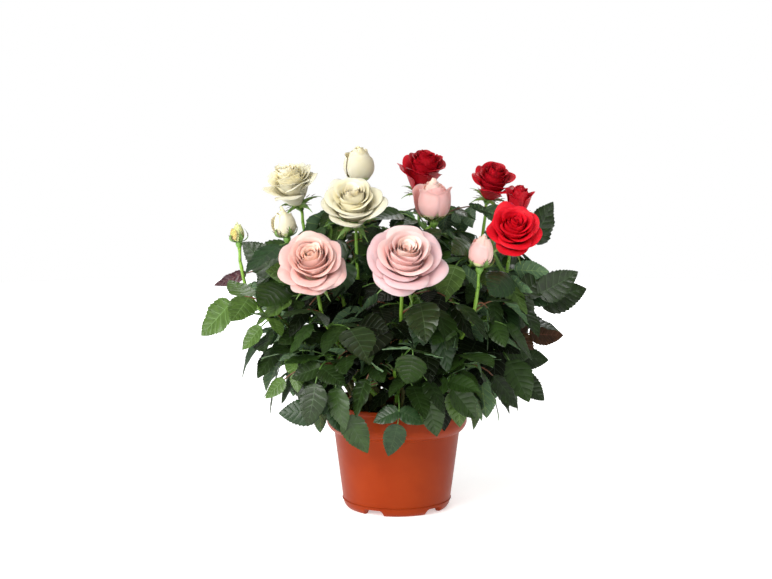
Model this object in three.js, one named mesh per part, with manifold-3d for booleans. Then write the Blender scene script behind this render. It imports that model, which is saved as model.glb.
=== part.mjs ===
// A three-colour miniature rose bush in a round plastic nursery pot.
// Millimetres, +Z up. The origin is the centre of the pot's foot ring, on the level that the pot stands on.
// Thirteen flowering canes and fifteen leafy canes rise from three rooted cuttings in the soil. Each flowering
// cane carries one bloom, and each leafy cane ends in a mass of compound leaves that keeps clear of all the rest.
import * as THREE from 'three';
import { mergeVertices } from 'three/addons/utils/BufferGeometryUtils.js';
import Module from 'manifold-3d';

const wasm = await Module();
wasm.setup();

const CLEAR = 0.3; // gap between two solids that rest on or meet each other
const UP = new THREE.Vector3(0, 0, 1);
const degrees = THREE.MathUtils.degToRad;
const mix = THREE.MathUtils.lerp;
const clamp01 = (x) => THREE.MathUtils.clamp(x, 0, 1);

// ---- Pot and soil ----
const RIM_RADIUS = 65;
const POT_HEIGHT = 97;
const RIM_BOTTOM = 70.5; // height of the step under the rim band
const WALL = 1.8;
const FLOOR_RAISE = 4; // the underside stands this high between the feet
const FOOT_OUTER = 45.5;
const FOOT_INNER = 41;
const BODY_FOOT = 49.2; // body radius just above the rounded foot
const BODY_TOP = 57.2; // body radius under the rim band
const POT_SIDES = 30;
const NOTCHES = 5;
const NOTCH_WIDTH = 16;
const NOTCH_TOP = 5.2;
const NOTCH_TURN = degrees(-27 - 90); // first notch, left of the front foot
const SOIL_TOP = 86;
const SOIL_FLAT = 53; // the soil is level out to here, then falls to the wall

// ---- Canes ----
const CUTTINGS = { white: [-24, 9], pink: [3, -24], red: [24, 13] };
const FOOT_SPREAD = 0.1; // how much of a cane's sideways reach its foot already has
const CANE_FOOT = 2.2; // radius where a cane leaves the soil
const CANE_TIP = 1.5;
const CANE_FLARE = 1.35;
const CANE_STEPS = 6; // straight lengths in a cane
const CANE_SIDES = 5;
const CANE_GAP = 1.1; // least free space between two canes
const FOOT_REACH = 44; // feet stay this close to the pot's axis
const RELAX_ROUNDS = 120;
const MASS_START = 2; // joint of a leafy cane where its mass of leaves begins

// ---- Leaves ----
const LEAVES_PER_MASS = 9;
const LEAF_TRIES = 24;
const LEAF_GAP = 0.3; // least space between a leaf and anything that it isn't part of
const STALK_RADIUS = [0.85, 0.7]; // at the stem and at the end leaflet
const LEAFLET_WIDTH = 0.64; // as a share of its length
const ROOT_WIDTH = 2.4; // how much of the stalk a side leaflet's root takes up
const PAIR_STEP = 0.34; // share of the stalk from one pair of leaflets to the next
const CROWN_REACH = [179, 167]; // half width and half depth of the whole crown
const LOWEST_LEAF = 58;

// One entry for each bloom: the middle of its head, the way it faces, its width, and how far it is open,
// from 0, a closed bud, to 1, a full rose.
const BLOOMS = [
  { name: 'white_left', colour: 'white', head: [-96, 25, 291], faces: [-0.3, -0.45, 0.85], width: 53, open: 0.85 },
  { name: 'white_top', colour: 'white', head: [-36, 75, 311], faces: [-0.05, -0.15, 1], width: 29, open: 0.25 },
  { name: 'white_middle', colour: 'white', head: [-38, -40, 275], faces: [-0.05, -0.7, 0.72], width: 56, open: 0.8 },
  { name: 'white_small', colour: 'white', head: [-101, -15, 260], faces: [-0.18, -0.1, 1], width: 21, open: 0.12 },
  { name: 'green_bud', colour: 'white', head: [-145, 10, 250], faces: [-0.1, -0.05, 1], width: 13, open: 0 },
  { name: 'pink_left', colour: 'pink', head: [-71, -85, 227], faces: [-0.08, -0.8, 0.6], width: 62, open: 0.95 },
  { name: 'pink_middle', colour: 'pink', head: [6, -105, 231], faces: [0.08, -0.75, 0.66], width: 69, open: 1 },
  { name: 'pink_half', colour: 'pink', head: [33, 0, 279], faces: [-0.03, -0.2, 1], width: 35, open: 0.35 },
  { name: 'pink_small', colour: 'pink', head: [72, -70, 238], faces: [0.12, -0.12, 1], width: 22, open: 0.15 },
  { name: 'red_top', colour: 'red', head: [26, 85, 302], faces: [0.12, -0.4, 0.92], width: 51, open: 0.7 },
  { name: 'red_back', colour: 'red', head: [91, 68, 293], faces: [0.2, -0.5, 0.84], width: 46, open: 0.85 },
  { name: 'red_small', colour: 'red', head: [112, 22, 278], faces: [0.1, -0.3, 0.95], width: 28, open: 0.45 },
  { name: 'red_front', colour: 'red', head: [102, -35, 253], faces: [0.06, -0.78, 0.62], width: 52, open: 0.9 },
];

// One entry for each mass of leaves: its cutting, and the compass bearing, reach and height of its top.
// Bearing 0 is +X, 90 is +Y, the back.
const MASSES = [
  { name: 'low_front', cutting: 'pink', bearing: 268, reach: 74, height: 136 },
  { name: 'low_front_left', cutting: 'pink', bearing: 226, reach: 80, height: 140 },
  { name: 'low_left', cutting: 'white', bearing: 184, reach: 90, height: 156 },
  { name: 'low_back_left', cutting: 'white', bearing: 138, reach: 84, height: 144 },
  { name: 'low_back', cutting: 'white', bearing: 94, reach: 80, height: 140 },
  { name: 'low_back_right', cutting: 'red', bearing: 50, reach: 84, height: 146 },
  { name: 'low_right', cutting: 'red', bearing: 2, reach: 88, height: 152 },
  { name: 'low_front_right', cutting: 'pink', bearing: 314, reach: 80, height: 138 },
  { name: 'high_front', cutting: 'pink', bearing: 284, reach: 62, height: 200 },
  { name: 'high_left', cutting: 'white', bearing: 204, reach: 84, height: 230 },
  { name: 'high_back_left', cutting: 'white', bearing: 130, reach: 84, height: 236 },
  { name: 'high_back_right', cutting: 'red', bearing: 62, reach: 84, height: 242 },
  { name: 'high_right', cutting: 'red', bearing: 350, reach: 86, height: 238 },
  { name: 'top_left', cutting: 'white', bearing: 160, reach: 38, height: 260 },
  { name: 'top_right', cutting: 'red', bearing: 20, reach: 42, height: 264 },
];

// Leaves at the edge of the crown that are set one by one: the mass that each belongs to, the root and the tip
// of its end leaflet, and how many pairs of side leaflets it has.
const EDGE_LEAVES = [
  { mass: 'low_left', root: [-147, -30, 190], tip: [-178, -26, 160], pairs: 1 },
  { mass: 'high_left', root: [-138, 16, 212], tip: [-171, 20, 202], pairs: 1 },
  { mass: 'high_left', root: [-108, -22, 216], tip: [-139, -14, 243], pairs: 0 },
  { mass: 'low_left', root: [-118, -58, 172], tip: [-136, -60, 152], pairs: 1 },
  { mass: 'low_front_left', root: [-98, -60, 126], tip: [-115, -60, 109], pairs: 1 },
  { mass: 'low_front_left', root: [-66, -78, 101], tip: [-102, -76, 101], pairs: 1 },
  { mass: 'low_front', root: [-44, -84, 98], tip: [-24, -84, 66], pairs: 0 },
  { mass: 'low_front', root: [0, -88, 92], tip: [-6, -87, 62], pairs: 1 },
  { mass: 'low_front_right', root: [27, -86, 112], tip: [31, -85, 80], pairs: 0 },
  { mass: 'low_front_right', root: [46, -82, 122], tip: [70, -78, 95], pairs: 2 },
  { mass: 'low_right', root: [110, -12, 122], tip: [136, -10, 98], pairs: 1 },
  { mass: 'low_right', root: [106, 8, 136], tip: [140, 10, 133], pairs: 0 },
  { mass: 'low_right', root: [122, 18, 156], tip: [155, 20, 154], pairs: 1 },
  { mass: 'high_right', root: [134, 42, 182], tip: [178, 46, 199], pairs: 1 },
  { mass: 'high_right', root: [126, -18, 196], tip: [163, -18, 214], pairs: 1 },
  { mass: 'high_right', root: [124, 16, 240], tip: [147, 20, 277], pairs: 0 },
  { mass: 'low_back', root: [8, 132, 160], tip: [12, 166, 146], pairs: 1 },
  { mass: 'low_front', root: [12, -134, 158], tip: [10, -166, 142], pairs: 1 },
];

// ---- Colours ----
const COLOURS = {
  pot: new THREE.Color('#b0482a'),
  soil: new THREE.Color('#2a211b'),
  cane: new THREE.Color('#5f8f2c'),
  leaf: new THREE.Color('#2f5a2b'),
  white: new THREE.Color('#f3efdc'),
  pink: new THREE.Color('#f2b9b4'),
  red: new THREE.Color('#c01222'),
};

// ---- Solids ----

function toSolid(geometry) {
  const bare = geometry.clone();
  bare.deleteAttribute('normal');
  bare.deleteAttribute('uv');
  const merged = mergeVertices(bare, 1e-4);
  return new wasm.Manifold(
    new wasm.Mesh({
      numProp: 3,
      vertProperties: merged.attributes.position.array,
      triVerts: new Uint32Array(merged.index.array),
    }),
  );
}

function toGeometry(solid) {
  const mesh = solid.getMesh();
  const geometry = new THREE.BufferGeometry();
  geometry.setAttribute('position', new THREE.BufferAttribute(mesh.vertProperties, 3));
  geometry.setIndex(new THREE.BufferAttribute(mesh.triVerts, 1));
  const faceted = geometry.toNonIndexed();
  faceted.computeVertexNormals();
  return faceted;
}

// Joins solids into one. Only the largest body is kept, which drops loose scraps and fills sealed hollows.
function fuse(geometries) {
  const joined = wasm.Manifold.union(geometries.map(toSolid)).simplify(0.01);
  return joined.decompose().reduce((a, b) => (a.volume() > b.volume() ? a : b));
}

// A closed tapering limb through points, with a ring of corners square to the tangent at each.
function limb(points, tangents, radii, sides) {
  const side = new THREE.Vector3(0.31, 0.95, 0.05);
  const corners = [];
  points.forEach((p, i) => {
    side.addScaledVector(tangents[i], -side.dot(tangents[i])).normalize();
    const other = new THREE.Vector3().crossVectors(tangents[i], side);
    for (let k = 0; k < sides; k++) {
      const turn = (2 * Math.PI * k) / sides;
      const corner = p.clone().addScaledVector(side, radii[i] * Math.cos(turn));
      corners.push(corner.addScaledVector(other, radii[i] * Math.sin(turn)));
    }
  });
  const index = [];
  for (let i = 0; i + 1 < points.length; i++)
    for (let k = 0; k < sides; k++) {
      const [a, b] = [i * sides + k, i * sides + ((k + 1) % sides)];
      index.push(a, b, a + sides, b, b + sides, a + sides);
    }
  const last = (points.length - 1) * sides;
  for (let k = 1; k + 1 < sides; k++) index.push(0, k + 1, k, last, last + k, last + k + 1);
  return new THREE.BufferGeometry().setFromPoints(corners).setIndex(index);
}

// A thin closed blade: an outline, counter-clockwise seen from above, joined to a ridge point above and one below.
function blade(outline, middle, normal, thick) {
  const above = middle.clone().addScaledVector(normal, thick / 2);
  const below = middle.clone().addScaledVector(normal, -thick / 2);
  const n = outline.length;
  const index = [];
  for (let i = 0; i < n; i++) index.push(i, (i + 1) % n, n, (i + 1) % n, i, n + 1);
  return new THREE.BufferGeometry().setFromPoints([...outline, above, below]).setIndex(index);
}

function named(name, solid, colour, roughness) {
  const material = new THREE.MeshStandardMaterial({ color: COLOURS[colour], roughness, metalness: 0 });
  const mesh = new THREE.Mesh(toGeometry(solid), material);
  mesh.name = name;
  return mesh;
}

// ---- Pot ----

function lathe(profile) {
  const geometry = new THREE.LatheGeometry(profile.map(([r, z]) => new THREE.Vector2(r, z)), POT_SIDES);
  return geometry.rotateX(Math.PI / 2);
}

// Height by height, the inner face of the wall, shared by the pot and the soil that fills it.
const INNER_WALL = [
  [BODY_FOOT - WALL - 0.8, FLOOR_RAISE + WALL],
  [BODY_TOP - WALL, RIM_BOTTOM],
  [RIM_RADIUS - WALL - 1.2, RIM_BOTTOM + 8.5],
  [RIM_RADIUS - WALL, POT_HEIGHT],
];

function pot() {
  const outer = [
    [0, FLOOR_RAISE],
    [FOOT_INNER, FLOOR_RAISE],
    [FOOT_INNER + 0.8, 0],
    [FOOT_OUTER, 0],
    [BODY_FOOT - 1.3, 3],
    [BODY_FOOT, 8],
    [BODY_TOP, RIM_BOTTOM],
    [BODY_TOP + 5.2, RIM_BOTTOM + 4],
    [RIM_RADIUS - 0.9, RIM_BOTTOM + 8],
    [RIM_RADIUS, POT_HEIGHT],
  ];
  const inner = [...INNER_WALL].reverse();
  let solid = toSolid(lathe([...outer, ...inner, [0, FLOOR_RAISE + WALL]]));
  for (let k = 0; k < NOTCHES; k++) solid = solid.subtract(toSolid(notch(NOTCH_TURN + (2 * Math.PI * k) / NOTCHES)));
  return solid;
}

// A drainage notch through the foot ring, wider at the ground than at its top.
function notch(turn) {
  const half = NOTCH_WIDTH / 2;
  const shape = new THREE.Shape([
    new THREE.Vector2(-half - 1.5, -1),
    new THREE.Vector2(half + 1.5, -1),
    new THREE.Vector2(half - 1.5, NOTCH_TOP),
    new THREE.Vector2(-half + 1.5, NOTCH_TOP),
  ]);
  const geometry = new THREE.ExtrudeGeometry(shape, { depth: 14, bevelEnabled: false });
  geometry.rotateX(Math.PI / 2).rotateZ(Math.PI / 2); // now runs along +X, upright
  return geometry.translate(FOOT_INNER - 4.4, 0, 0).rotateZ(turn);
}

function soil() {
  const wall = INNER_WALL.map(([r, z]) => [r - CLEAR * 1.4, z + CLEAR]).filter(([, z]) => z < SOIL_TOP - 4);
  const brim = RIM_RADIUS - WALL - 1.4;
  const top = [
    [brim, SOIL_TOP - 3],
    [SOIL_FLAT, SOIL_TOP],
    [0, SOIL_TOP],
  ];
  return toSolid(lathe([[0, FLOOR_RAISE + WALL + CLEAR], ...wall, ...top]));
}

// ---- Canes ----

// The centre line of a cane from its foot in the soil to its tip, as evenly timed points of one cubic curve.
function caneLine(cutting, tip, tipWay) {
  const [cx, cy] = CUTTINGS[cutting];
  const [dx, dy] = [tip.x - cx, tip.y - cy];
  const foot = new THREE.Vector3(cx + FOOT_SPREAD * dx, cy + FOOT_SPREAD * dy, SOIL_TOP + CLEAR);
  const length = foot.distanceTo(tip);
  const leave = foot.clone().add(new THREE.Vector3(0.3 * dx, 0.3 * dy, 0.36 * length));
  const arrive = tip.clone().addScaledVector(tipWay, -0.34 * length);
  return new THREE.CubicBezierCurve3(foot, leave, arrive, tip).getPoints(CANE_STEPS);
}

function caneRadius(step) {
  const flare = step === 0 ? CANE_FLARE : 1;
  return flare * mix(CANE_FOOT, CANE_TIP, step / CANE_STEPS);
}

// Pushes canes apart until they keep CANE_GAP from each other and from every bloom that isn't their own.
// Tips stay where they are, and feet slide on the soil.
function relax(canes) {
  for (let round = 0; round < RELAX_ROUNDS; round++) {
    for (let a = 0; a < canes.length; a++) {
      for (let b = a + 1; b < canes.length; b++) separate(canes[a].line, canes[b].line);
      for (const bloom of BLOOMS) if (bloom.name !== canes[a].bloom) avoid(canes[a].line, bloom);
    }
  }
}

// The nearest points of the straight lengths ab and cd, as shares along each.
function nearest(a, b, c, d) {
  const [u, v, w] = [b.clone().sub(a), d.clone().sub(c), a.clone().sub(c)];
  const [uu, uv, vv, uw, vw] = [u.dot(u), u.dot(v), v.dot(v), u.dot(w), v.dot(w)];
  const parallel = uu * vv - uv * uv < 1e-6 * uu * vv;
  const s = parallel ? 0.5 : clamp01((uv * vw - vv * uw) / (uu * vv - uv * uv));
  const t = clamp01((uv * s + vw) / vv);
  return [clamp01((uv * t - uw) / uu), t];
}

function separate(one, other) {
  for (let i = 0; i < CANE_STEPS; i++)
    for (let j = Math.max(0, i - 2); j < Math.min(CANE_STEPS, i + 3); j++) {
      const [s, t] = nearest(one[i], one[i + 1], other[j], other[j + 1]);
      const apart = one[i].clone().lerp(one[i + 1], s).sub(other[j].clone().lerp(other[j + 1], t));
      const least = caneRadius(i) + caneRadius(j) + CANE_GAP;
      const gap = apart.length();
      if (gap >= least) continue;
      apart.multiplyScalar((0.6 * (least - gap)) / (gap + 1e-6));
      push(one, i, s, apart);
      push(other, j, t, apart.negate());
    }
}

function avoid(line, bloom) {
  const head = new THREE.Vector3(...bloom.head);
  for (let i = 0; i < CANE_STEPS; i++) {
    const [s] = nearest(line[i], line[i + 1], head, head.clone().add(new THREE.Vector3(0, 0, 0.01)));
    const apart = line[i].clone().lerp(line[i + 1], s).sub(head);
    const short = bloom.width / 2 + 3 - apart.length();
    if (short > 0) push(line, i, s, apart.normalize().multiplyScalar(0.6 * short));
  }
}

// Moves a point of a cane's length i by moving the joints at its ends. The tip never moves, and the foot stays
// on the soil.
function push(line, i, share, by) {
  if (i + 1 < CANE_STEPS) line[i + 1].addScaledVector(by, Math.max(share, 0.3));
  line[i].addScaledVector(by, Math.max(1 - share, 0.3));
  if (i > 0) return;
  line[0].z = SOIL_TOP + CLEAR;
  const out = Math.hypot(line[0].x, line[0].y);
  if (out > FOOT_REACH) line[0].multiply(new THREE.Vector3(FOOT_REACH / out, FOOT_REACH / out, 1));
}

function tangentsOf(line) {
  return line.map((p, i) => {
    const before = line[Math.max(0, i - 1)];
    const after = line[Math.min(line.length - 1, i + 1)];
    return i === 0 ? UP.clone() : after.clone().sub(before).normalize();
  });
}

// The stretch of a cane between two of its joints.
function caneSolid(cane, from, to, sides, startGap = 0) {
  const ways = tangentsOf(cane.line).slice(from, to + 1);
  const points = cane.line.slice(from, to + 1).map((p) => p.clone());
  points[0].addScaledVector(ways[0], startGap);
  const radii = points.map((p, k) => caneRadius(from + k));
  return limb(points, ways, radii, sides);
}

// ---- Blooms ----

const PEDICEL = 12; // stalk under a bloom
const HIP = 6.5; // height of the swelling under the petals
const PETALS = 5; // in each ring, and as many sepals
const unit = (list) => new THREE.Vector3(...list).normalize();

function headHeight(bloom) {
  return bloom.width * mix(1.25, 0.6, bloom.open);
}

// Where the hip of a bloom starts, under the middle of its head.
function hipOf(bloom) {
  const drop = HIP + 0.5 * headHeight(bloom);
  return new THREE.Vector3(...bloom.head).addScaledVector(unit(bloom.faces), -drop);
}

// The stalk bends from upright to the way that the bloom faces.
function pedicelFoot(bloom) {
  const way = unit(bloom.faces).multiplyScalar(0.4).addScaledVector(UP, 0.75).normalize();
  return { foot: hipOf(bloom).addScaledVector(way, -PEDICEL), way };
}

// A closed surface of revolution with lobes. Each ring is [radius, height, dip]: every third column is a valley
// between two petals, drawn in and down by the share `dip` of the radius.
function lobed(low, rings, high, columns) {
  const corners = [new THREE.Vector3(0, 0, low)];
  for (const [radius, height, dip] of rings)
    for (let k = 0; k < columns; k++) {
      const valley = k % (columns / PETALS) === 0 ? dip : 0;
      const angle = (2 * Math.PI * k) / columns;
      const out = radius * (1 - valley);
      corners.push(new THREE.Vector3(out * Math.cos(angle), out * Math.sin(angle), height - valley * radius));
    }
  corners.push(new THREE.Vector3(0, 0, high));
  const index = [];
  for (let k = 0; k < columns; k++) {
    const [a, b] = [1 + k, 1 + ((k + 1) % columns)];
    index.push(0, b, a);
    for (let ring = 0; ring + 1 < rings.length; ring++) {
      const [from, to] = [ring * columns, (ring + 1) * columns];
      index.push(a + from, b + from, b + to, a + from, b + to, a + to);
    }
    const last = (rings.length - 1) * columns;
    index.push(a + last, b + last, corners.length - 1);
  }
  return new THREE.BufferGeometry().setFromPoints(corners).setIndex(index);
}

// The petals of a bloom: a plain bud, or one or two lobed rings of petals round a rolled heart.
function petals(bloom, radius, height) {
  const z = (share) => HIP + share * height;
  if (bloom.open < 0.2)
    return lobed(HIP - 2, [[0.7 * radius, z(0.14), 0], [radius, z(0.42), 0], [0.62 * radius, z(0.84), 0.2]], z(1), PETALS * 2);
  const rim = mix(0.86, 0.5, bloom.open);
  if (bloom.open < 0.5) {
    const cup = [[0.7 * radius, z(0.16), 0], [0.96 * radius, z(0.5), 0], [radius, z(rim), 0.14]];
    return lobed(HIP - 2, [...cup, [0.8 * radius, z(rim) - 2, 0], [0.5 * radius, z(0.98), 0]], z(1), PETALS * 2);
  }
  const columns = bloom.width > 54 ? PETALS * 3 : PETALS * 2;
  const outer = [[0.6 * radius, z(0.3 * rim), 0], [radius, z(rim), 0.13], [0.78 * radius, z(rim) - 1, 0.04]];
  const inner = [[0.74 * radius, z(0.84), 0.1], [0.58 * radius, z(0.78), 0], [0.34 * radius, z(0.98), 0]];
  return lobed(HIP - 2, [...outer, ...inner], z(1), columns);
}

// Five sepals as one star. They stand up round a bud and turn down as it opens.
function sepals(bloom, radius) {
  const length = 0.24 * bloom.width + 7;
  const lift = mix(1, -0.15, clamp01(bloom.open * 1.4));
  const reach = mix(radius + 1.5, 3 + length, clamp01(bloom.open * 1.4));
  const corners = [new THREE.Vector3(0, 0, HIP - 2.4), new THREE.Vector3(0, 0, HIP + 1.5)];
  for (let k = 0; k < PETALS * 2; k++) {
    const angle = (Math.PI * k) / PETALS;
    const [out, up] = k % 2 === 0 ? [reach, lift * length] : [0.1 * radius + 3.4, 0];
    corners.push(new THREE.Vector3(out * Math.cos(angle), out * Math.sin(angle), HIP + up - 0.6));
  }
  const index = [];
  for (let k = 0; k < PETALS * 2; k++) {
    const [a, b] = [2 + k, 2 + ((k + 1) % (PETALS * 2))];
    index.push(0, b, a, 1, a, b);
  }
  return new THREE.BufferGeometry().setFromPoints(corners).setIndex(index);
}

function hip(radius) {
  const rings = [[1.6, 0, 0], [radius, 0.55 * HIP, 0], [0.75 * radius, HIP + 0.6, 0]];
  return lobed(0, rings, HIP + 1.5, PETALS);
}

function bloomSolid(bloom) {
  const radius = bloom.width / 2;
  const parts = [petals(bloom, radius, headHeight(bloom)), sepals(bloom, radius), hip(0.1 * radius + 2.4)];
  const turn = new THREE.Quaternion().setFromUnitVectors(UP, unit(bloom.faces));
  const hipAt = hipOf(bloom);
  for (const part of parts) part.applyQuaternion(turn).translate(hipAt.x, hipAt.y, hipAt.z);
  const { foot, way } = pedicelFoot(bloom);
  const start = foot.clone().addScaledVector(way, CLEAR);
  const into = hipAt.clone().addScaledVector(unit(bloom.faces), 1.5);
  parts.push(limb([start, into], [way, unit(bloom.faces)], [CANE_TIP, CANE_TIP + 0.2], CANE_SIDES));
  return fuse(parts);
}

// ---- Leaves ----

// Repeatable numbers from 0 to 1, by a 32-bit linear congruence.
function randomFrom(seed) {
  let state = (seed * 2654435761) >>> 0;
  return () => {
    state = (Math.imul(state, 1664525) + 1013904223) >>> 0;
    return state / 4294967296;
  };
}

// What has grown so far, as points with a radius in a grid of cells.
const CELL = 9;
const taken = new Map();
const cellOf = (x) => Math.floor(x / CELL);

function take(points) {
  for (const p of points) {
    const key = cellOf(p.at.x) + ',' + cellOf(p.at.y) + ',' + cellOf(p.at.z);
    if (!taken.has(key)) taken.set(key, []);
    taken.get(key).push(p);
  }
}

function touches(p) {
  const [cx, cy, cz] = [cellOf(p.at.x), cellOf(p.at.y), cellOf(p.at.z)];
  for (let x = cx - 1; x <= cx + 1; x++)
    for (let y = cy - 1; y <= cy + 1; y++)
      for (let z = cz - 1; z <= cz + 1; z++)
        for (const q of taken.get(x + ',' + y + ',' + z) ?? [])
          if (p.at.distanceTo(q.at) < p.radius + q.radius) return true;
  return false;
}

// The half width of the crown at a height: narrow at the pot's rim, widest halfway up, rounded over at the top.
function crownHalfWidth(z) {
  if (z < 150) return 84 + (CROWN_REACH[0] - 84) * Math.pow(clamp01((z - LOWEST_LEAF) / (150 - LOWEST_LEAF)), 0.8);
  return CROWN_REACH[0] * Math.pow(1 - Math.pow(clamp01((z - 150) / 150), 2.6), 1 / 2.6);
}

function outsideCrown(p) {
  const half = crownHalfWidth(p.z);
  const depth = (half * CROWN_REACH[1]) / CROWN_REACH[0];
  if (p.z < LOWEST_LEAF || Math.hypot(p.x / half, p.y / depth) > 1) return true;
  if (Math.hypot(p.x, p.y) < RIM_RADIUS + 4 && p.z < POT_HEIGHT + 5) return true;
  return BLOOMS.some((b) => Math.hypot(p.x - b.head[0], p.y - b.head[1], p.z - b.head[2]) < b.width / 2 + 3);
}

const free = (points) => !points.some((p) => outsideCrown(p.at) || touches(p));

// A leaflet: its root, the way it points, its upper side, and its length.
function leaflet(root, way, up, length) {
  const normal = up.clone().addScaledVector(way, -up.dot(way)).normalize();
  return { root, way, normal, side: new THREE.Vector3().crossVectors(normal, way), length };
}

// Half the width of a leaflet at a share of its length.
function halfWidth(leaf, along) {
  return 0.5 * LEAFLET_WIDTH * leaf.length * Math.pow(Math.sin(Math.PI * Math.pow(along, 0.82)), 0.75);
}

const FOLD = 0.2; // how steeply each half rises from the midrib
const ARCH = 0.1; // how far the tip bows down, as a share of the length

function onLeaflet(leaf, along, across) {
  const out = across * halfWidth(leaf, along);
  const lift = FOLD * Math.abs(out) - ARCH * leaf.length * along * along;
  return leaf.root
    .clone()
    .addScaledVector(leaf.way, along * leaf.length)
    .addScaledVector(leaf.side, out)
    .addScaledVector(leaf.normal, lift);
}

function leafletPoints(leaf) {
  const points = [];
  for (const along of [0.12, 0.3, 0.48, 0.66, 0.84, 1])
    for (const across of [-0.85, -0.3, 0.3, 0.85])
      points.push({ at: onLeaflet(leaf, along, across), radius: 0.065 * leaf.length });
  return points;
}

// A compound leaf: a bowed stalk from the stem, an end leaflet, and pairs of smaller ones behind it. `across` is
// square to the way that the leaf grows, and level with its blade. Every joint of the stalk has its own frame.
function compoundLeaf(stem, knee, root, across, size, pairs) {
  const curve = new THREE.QuadraticBezierCurve3(stem, knee, root);
  const joints = [];
  for (let i = pairs + 1; i >= 0; i--) {
    const t = i > pairs ? 0 : 1 - PAIR_STEP * i;
    const way = curve.getTangent(t);
    const side = across.clone().addScaledVector(way, -across.dot(way)).normalize();
    const normal = new THREE.Vector3().crossVectors(way, side);
    const radius = mix(...STALK_RADIUS, t);
    const at = curve.getPoint(t);
    const blades = i > pairs ? [] : i === 0 ? [leaflet(at, way, normal, size)] : [];
    for (const hand of i > 0 && i <= pairs ? [1, -1] : []) {
      const out = way.clone().multiplyScalar(0.42).addScaledVector(side, 0.9 * hand).addScaledVector(normal, -0.12);
      const face = normal.clone().addScaledVector(side, 0.18 * hand);
      blades.push({ ...leaflet(at, out.normalize(), face, size * (0.96 - 0.16 * i)), hand });
    }
    joints.push({ at, way, side, normal, radius, blades });
  }
  return { curve, joints };
}

const leafletsOf = (leaf) => leaf.joints.flatMap((joint) => joint.blades);

// The outline of a leaf at one joint of its stalk, on its left (hand 1) or its right (hand -1), from back to front.
function outlineAt(joint, hand) {
  const edge = (along) =>
    joint.at.clone().addScaledVector(joint.way, along).addScaledVector(joint.side, hand * joint.radius);
  const end = joint.blades.find((b) => !b.hand);
  if (end) return [edge(0), onLeaflet(end, 0.28, hand), onLeaflet(end, 0.66, hand), onLeaflet(end, 1, 0)];
  const own = joint.blades.find((b) => b.hand === hand);
  if (!own) return [edge(0)];
  const back = [0.28, 0.66].map((along) => onLeaflet(own, along, hand));
  const front = [0.66, 0.28].map((along) => onLeaflet(own, along, -hand));
  return [edge(-ROOT_WIDTH / 2), ...back, onLeaflet(own, 1, 0), ...front, edge(ROOT_WIDTH / 2)];
}

// The whole leaf as one closed surface. Each joint has a point above and one below, joined to the leaf's outline.
function leafSolid(leaf) {
  const corners = [];
  const index = [];
  const add = (p) => corners.push(p) - 1;
  const both = (hand, above, below, from, to) => {
    const [a, b] = hand > 0 ? [to, from] : [from, to];
    index.push(above, a, b, below, b, a);
  };
  let before = null;
  for (const joint of leaf.joints) {
    const above = add(joint.at.clone().addScaledVector(joint.normal, joint.radius));
    const below = add(joint.at.clone().addScaledVector(joint.normal, -joint.radius));
    const outline = {};
    for (const hand of [1, -1]) {
      outline[hand] = outlineAt(joint, hand).map(add);
      const chain = outline[hand];
      for (let k = 0; k + 1 < chain.length; k++) both(hand, above, below, chain[k], chain[k + 1]);
      if (!before) continue;
      both(hand, before.above, before.below, before.outline[hand].at(-1), chain[0]);
      const [a, b] = hand > 0 ? [above, below] : [below, above];
      index.push(before[hand > 0 ? 'above' : 'below'], a, chain[0], before[hand > 0 ? 'below' : 'above'], chain[0], b);
    }
    if (!before) index.push(above, outline[1][0], below, above, below, outline[-1][0]);
    before = { above, below, outline };
  }
  const [{ above, below }, left, right] = [before, before.outline[1][0], before.outline[-1][0]];
  if (!leaf.joints.at(-1).blades.length) index.push(above, below, left, above, right, below);
  return new THREE.BufferGeometry().setFromPoints(corners).setIndex(index);
}

function stalkPoints(leaf) {
  const shares = [0.2, 0.36, 0.52, 0.68, 0.84, 1];
  return shares.map((t) => ({ at: leaf.curve.getPoint(t), radius: STALK_RADIUS[0] + 0.5 }));
}

function without(leaf, drop) {
  return { ...leaf, joints: leaf.joints.map((j) => ({ ...j, blades: j.blades.filter((b) => !drop(b)) })) };
}

// The leaf keeps only the leaflets that are free. There is none if its stalk or its end leaflet isn't free.
function trimmed(leaf) {
  const end = leafletsOf(leaf).find((b) => !b.hand);
  if (!free(stalkPoints(leaf)) || !free(leafletPoints(end))) return null;
  return without(leaf, (b) => !free(leafletPoints(b)));
}

function pointOn(line, t) {
  const at = Math.min(t * CANE_STEPS, CANE_STEPS - 1e-9);
  const i = Math.floor(at);
  return line[i].clone().lerp(line[i + 1], at - i);
}

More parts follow.
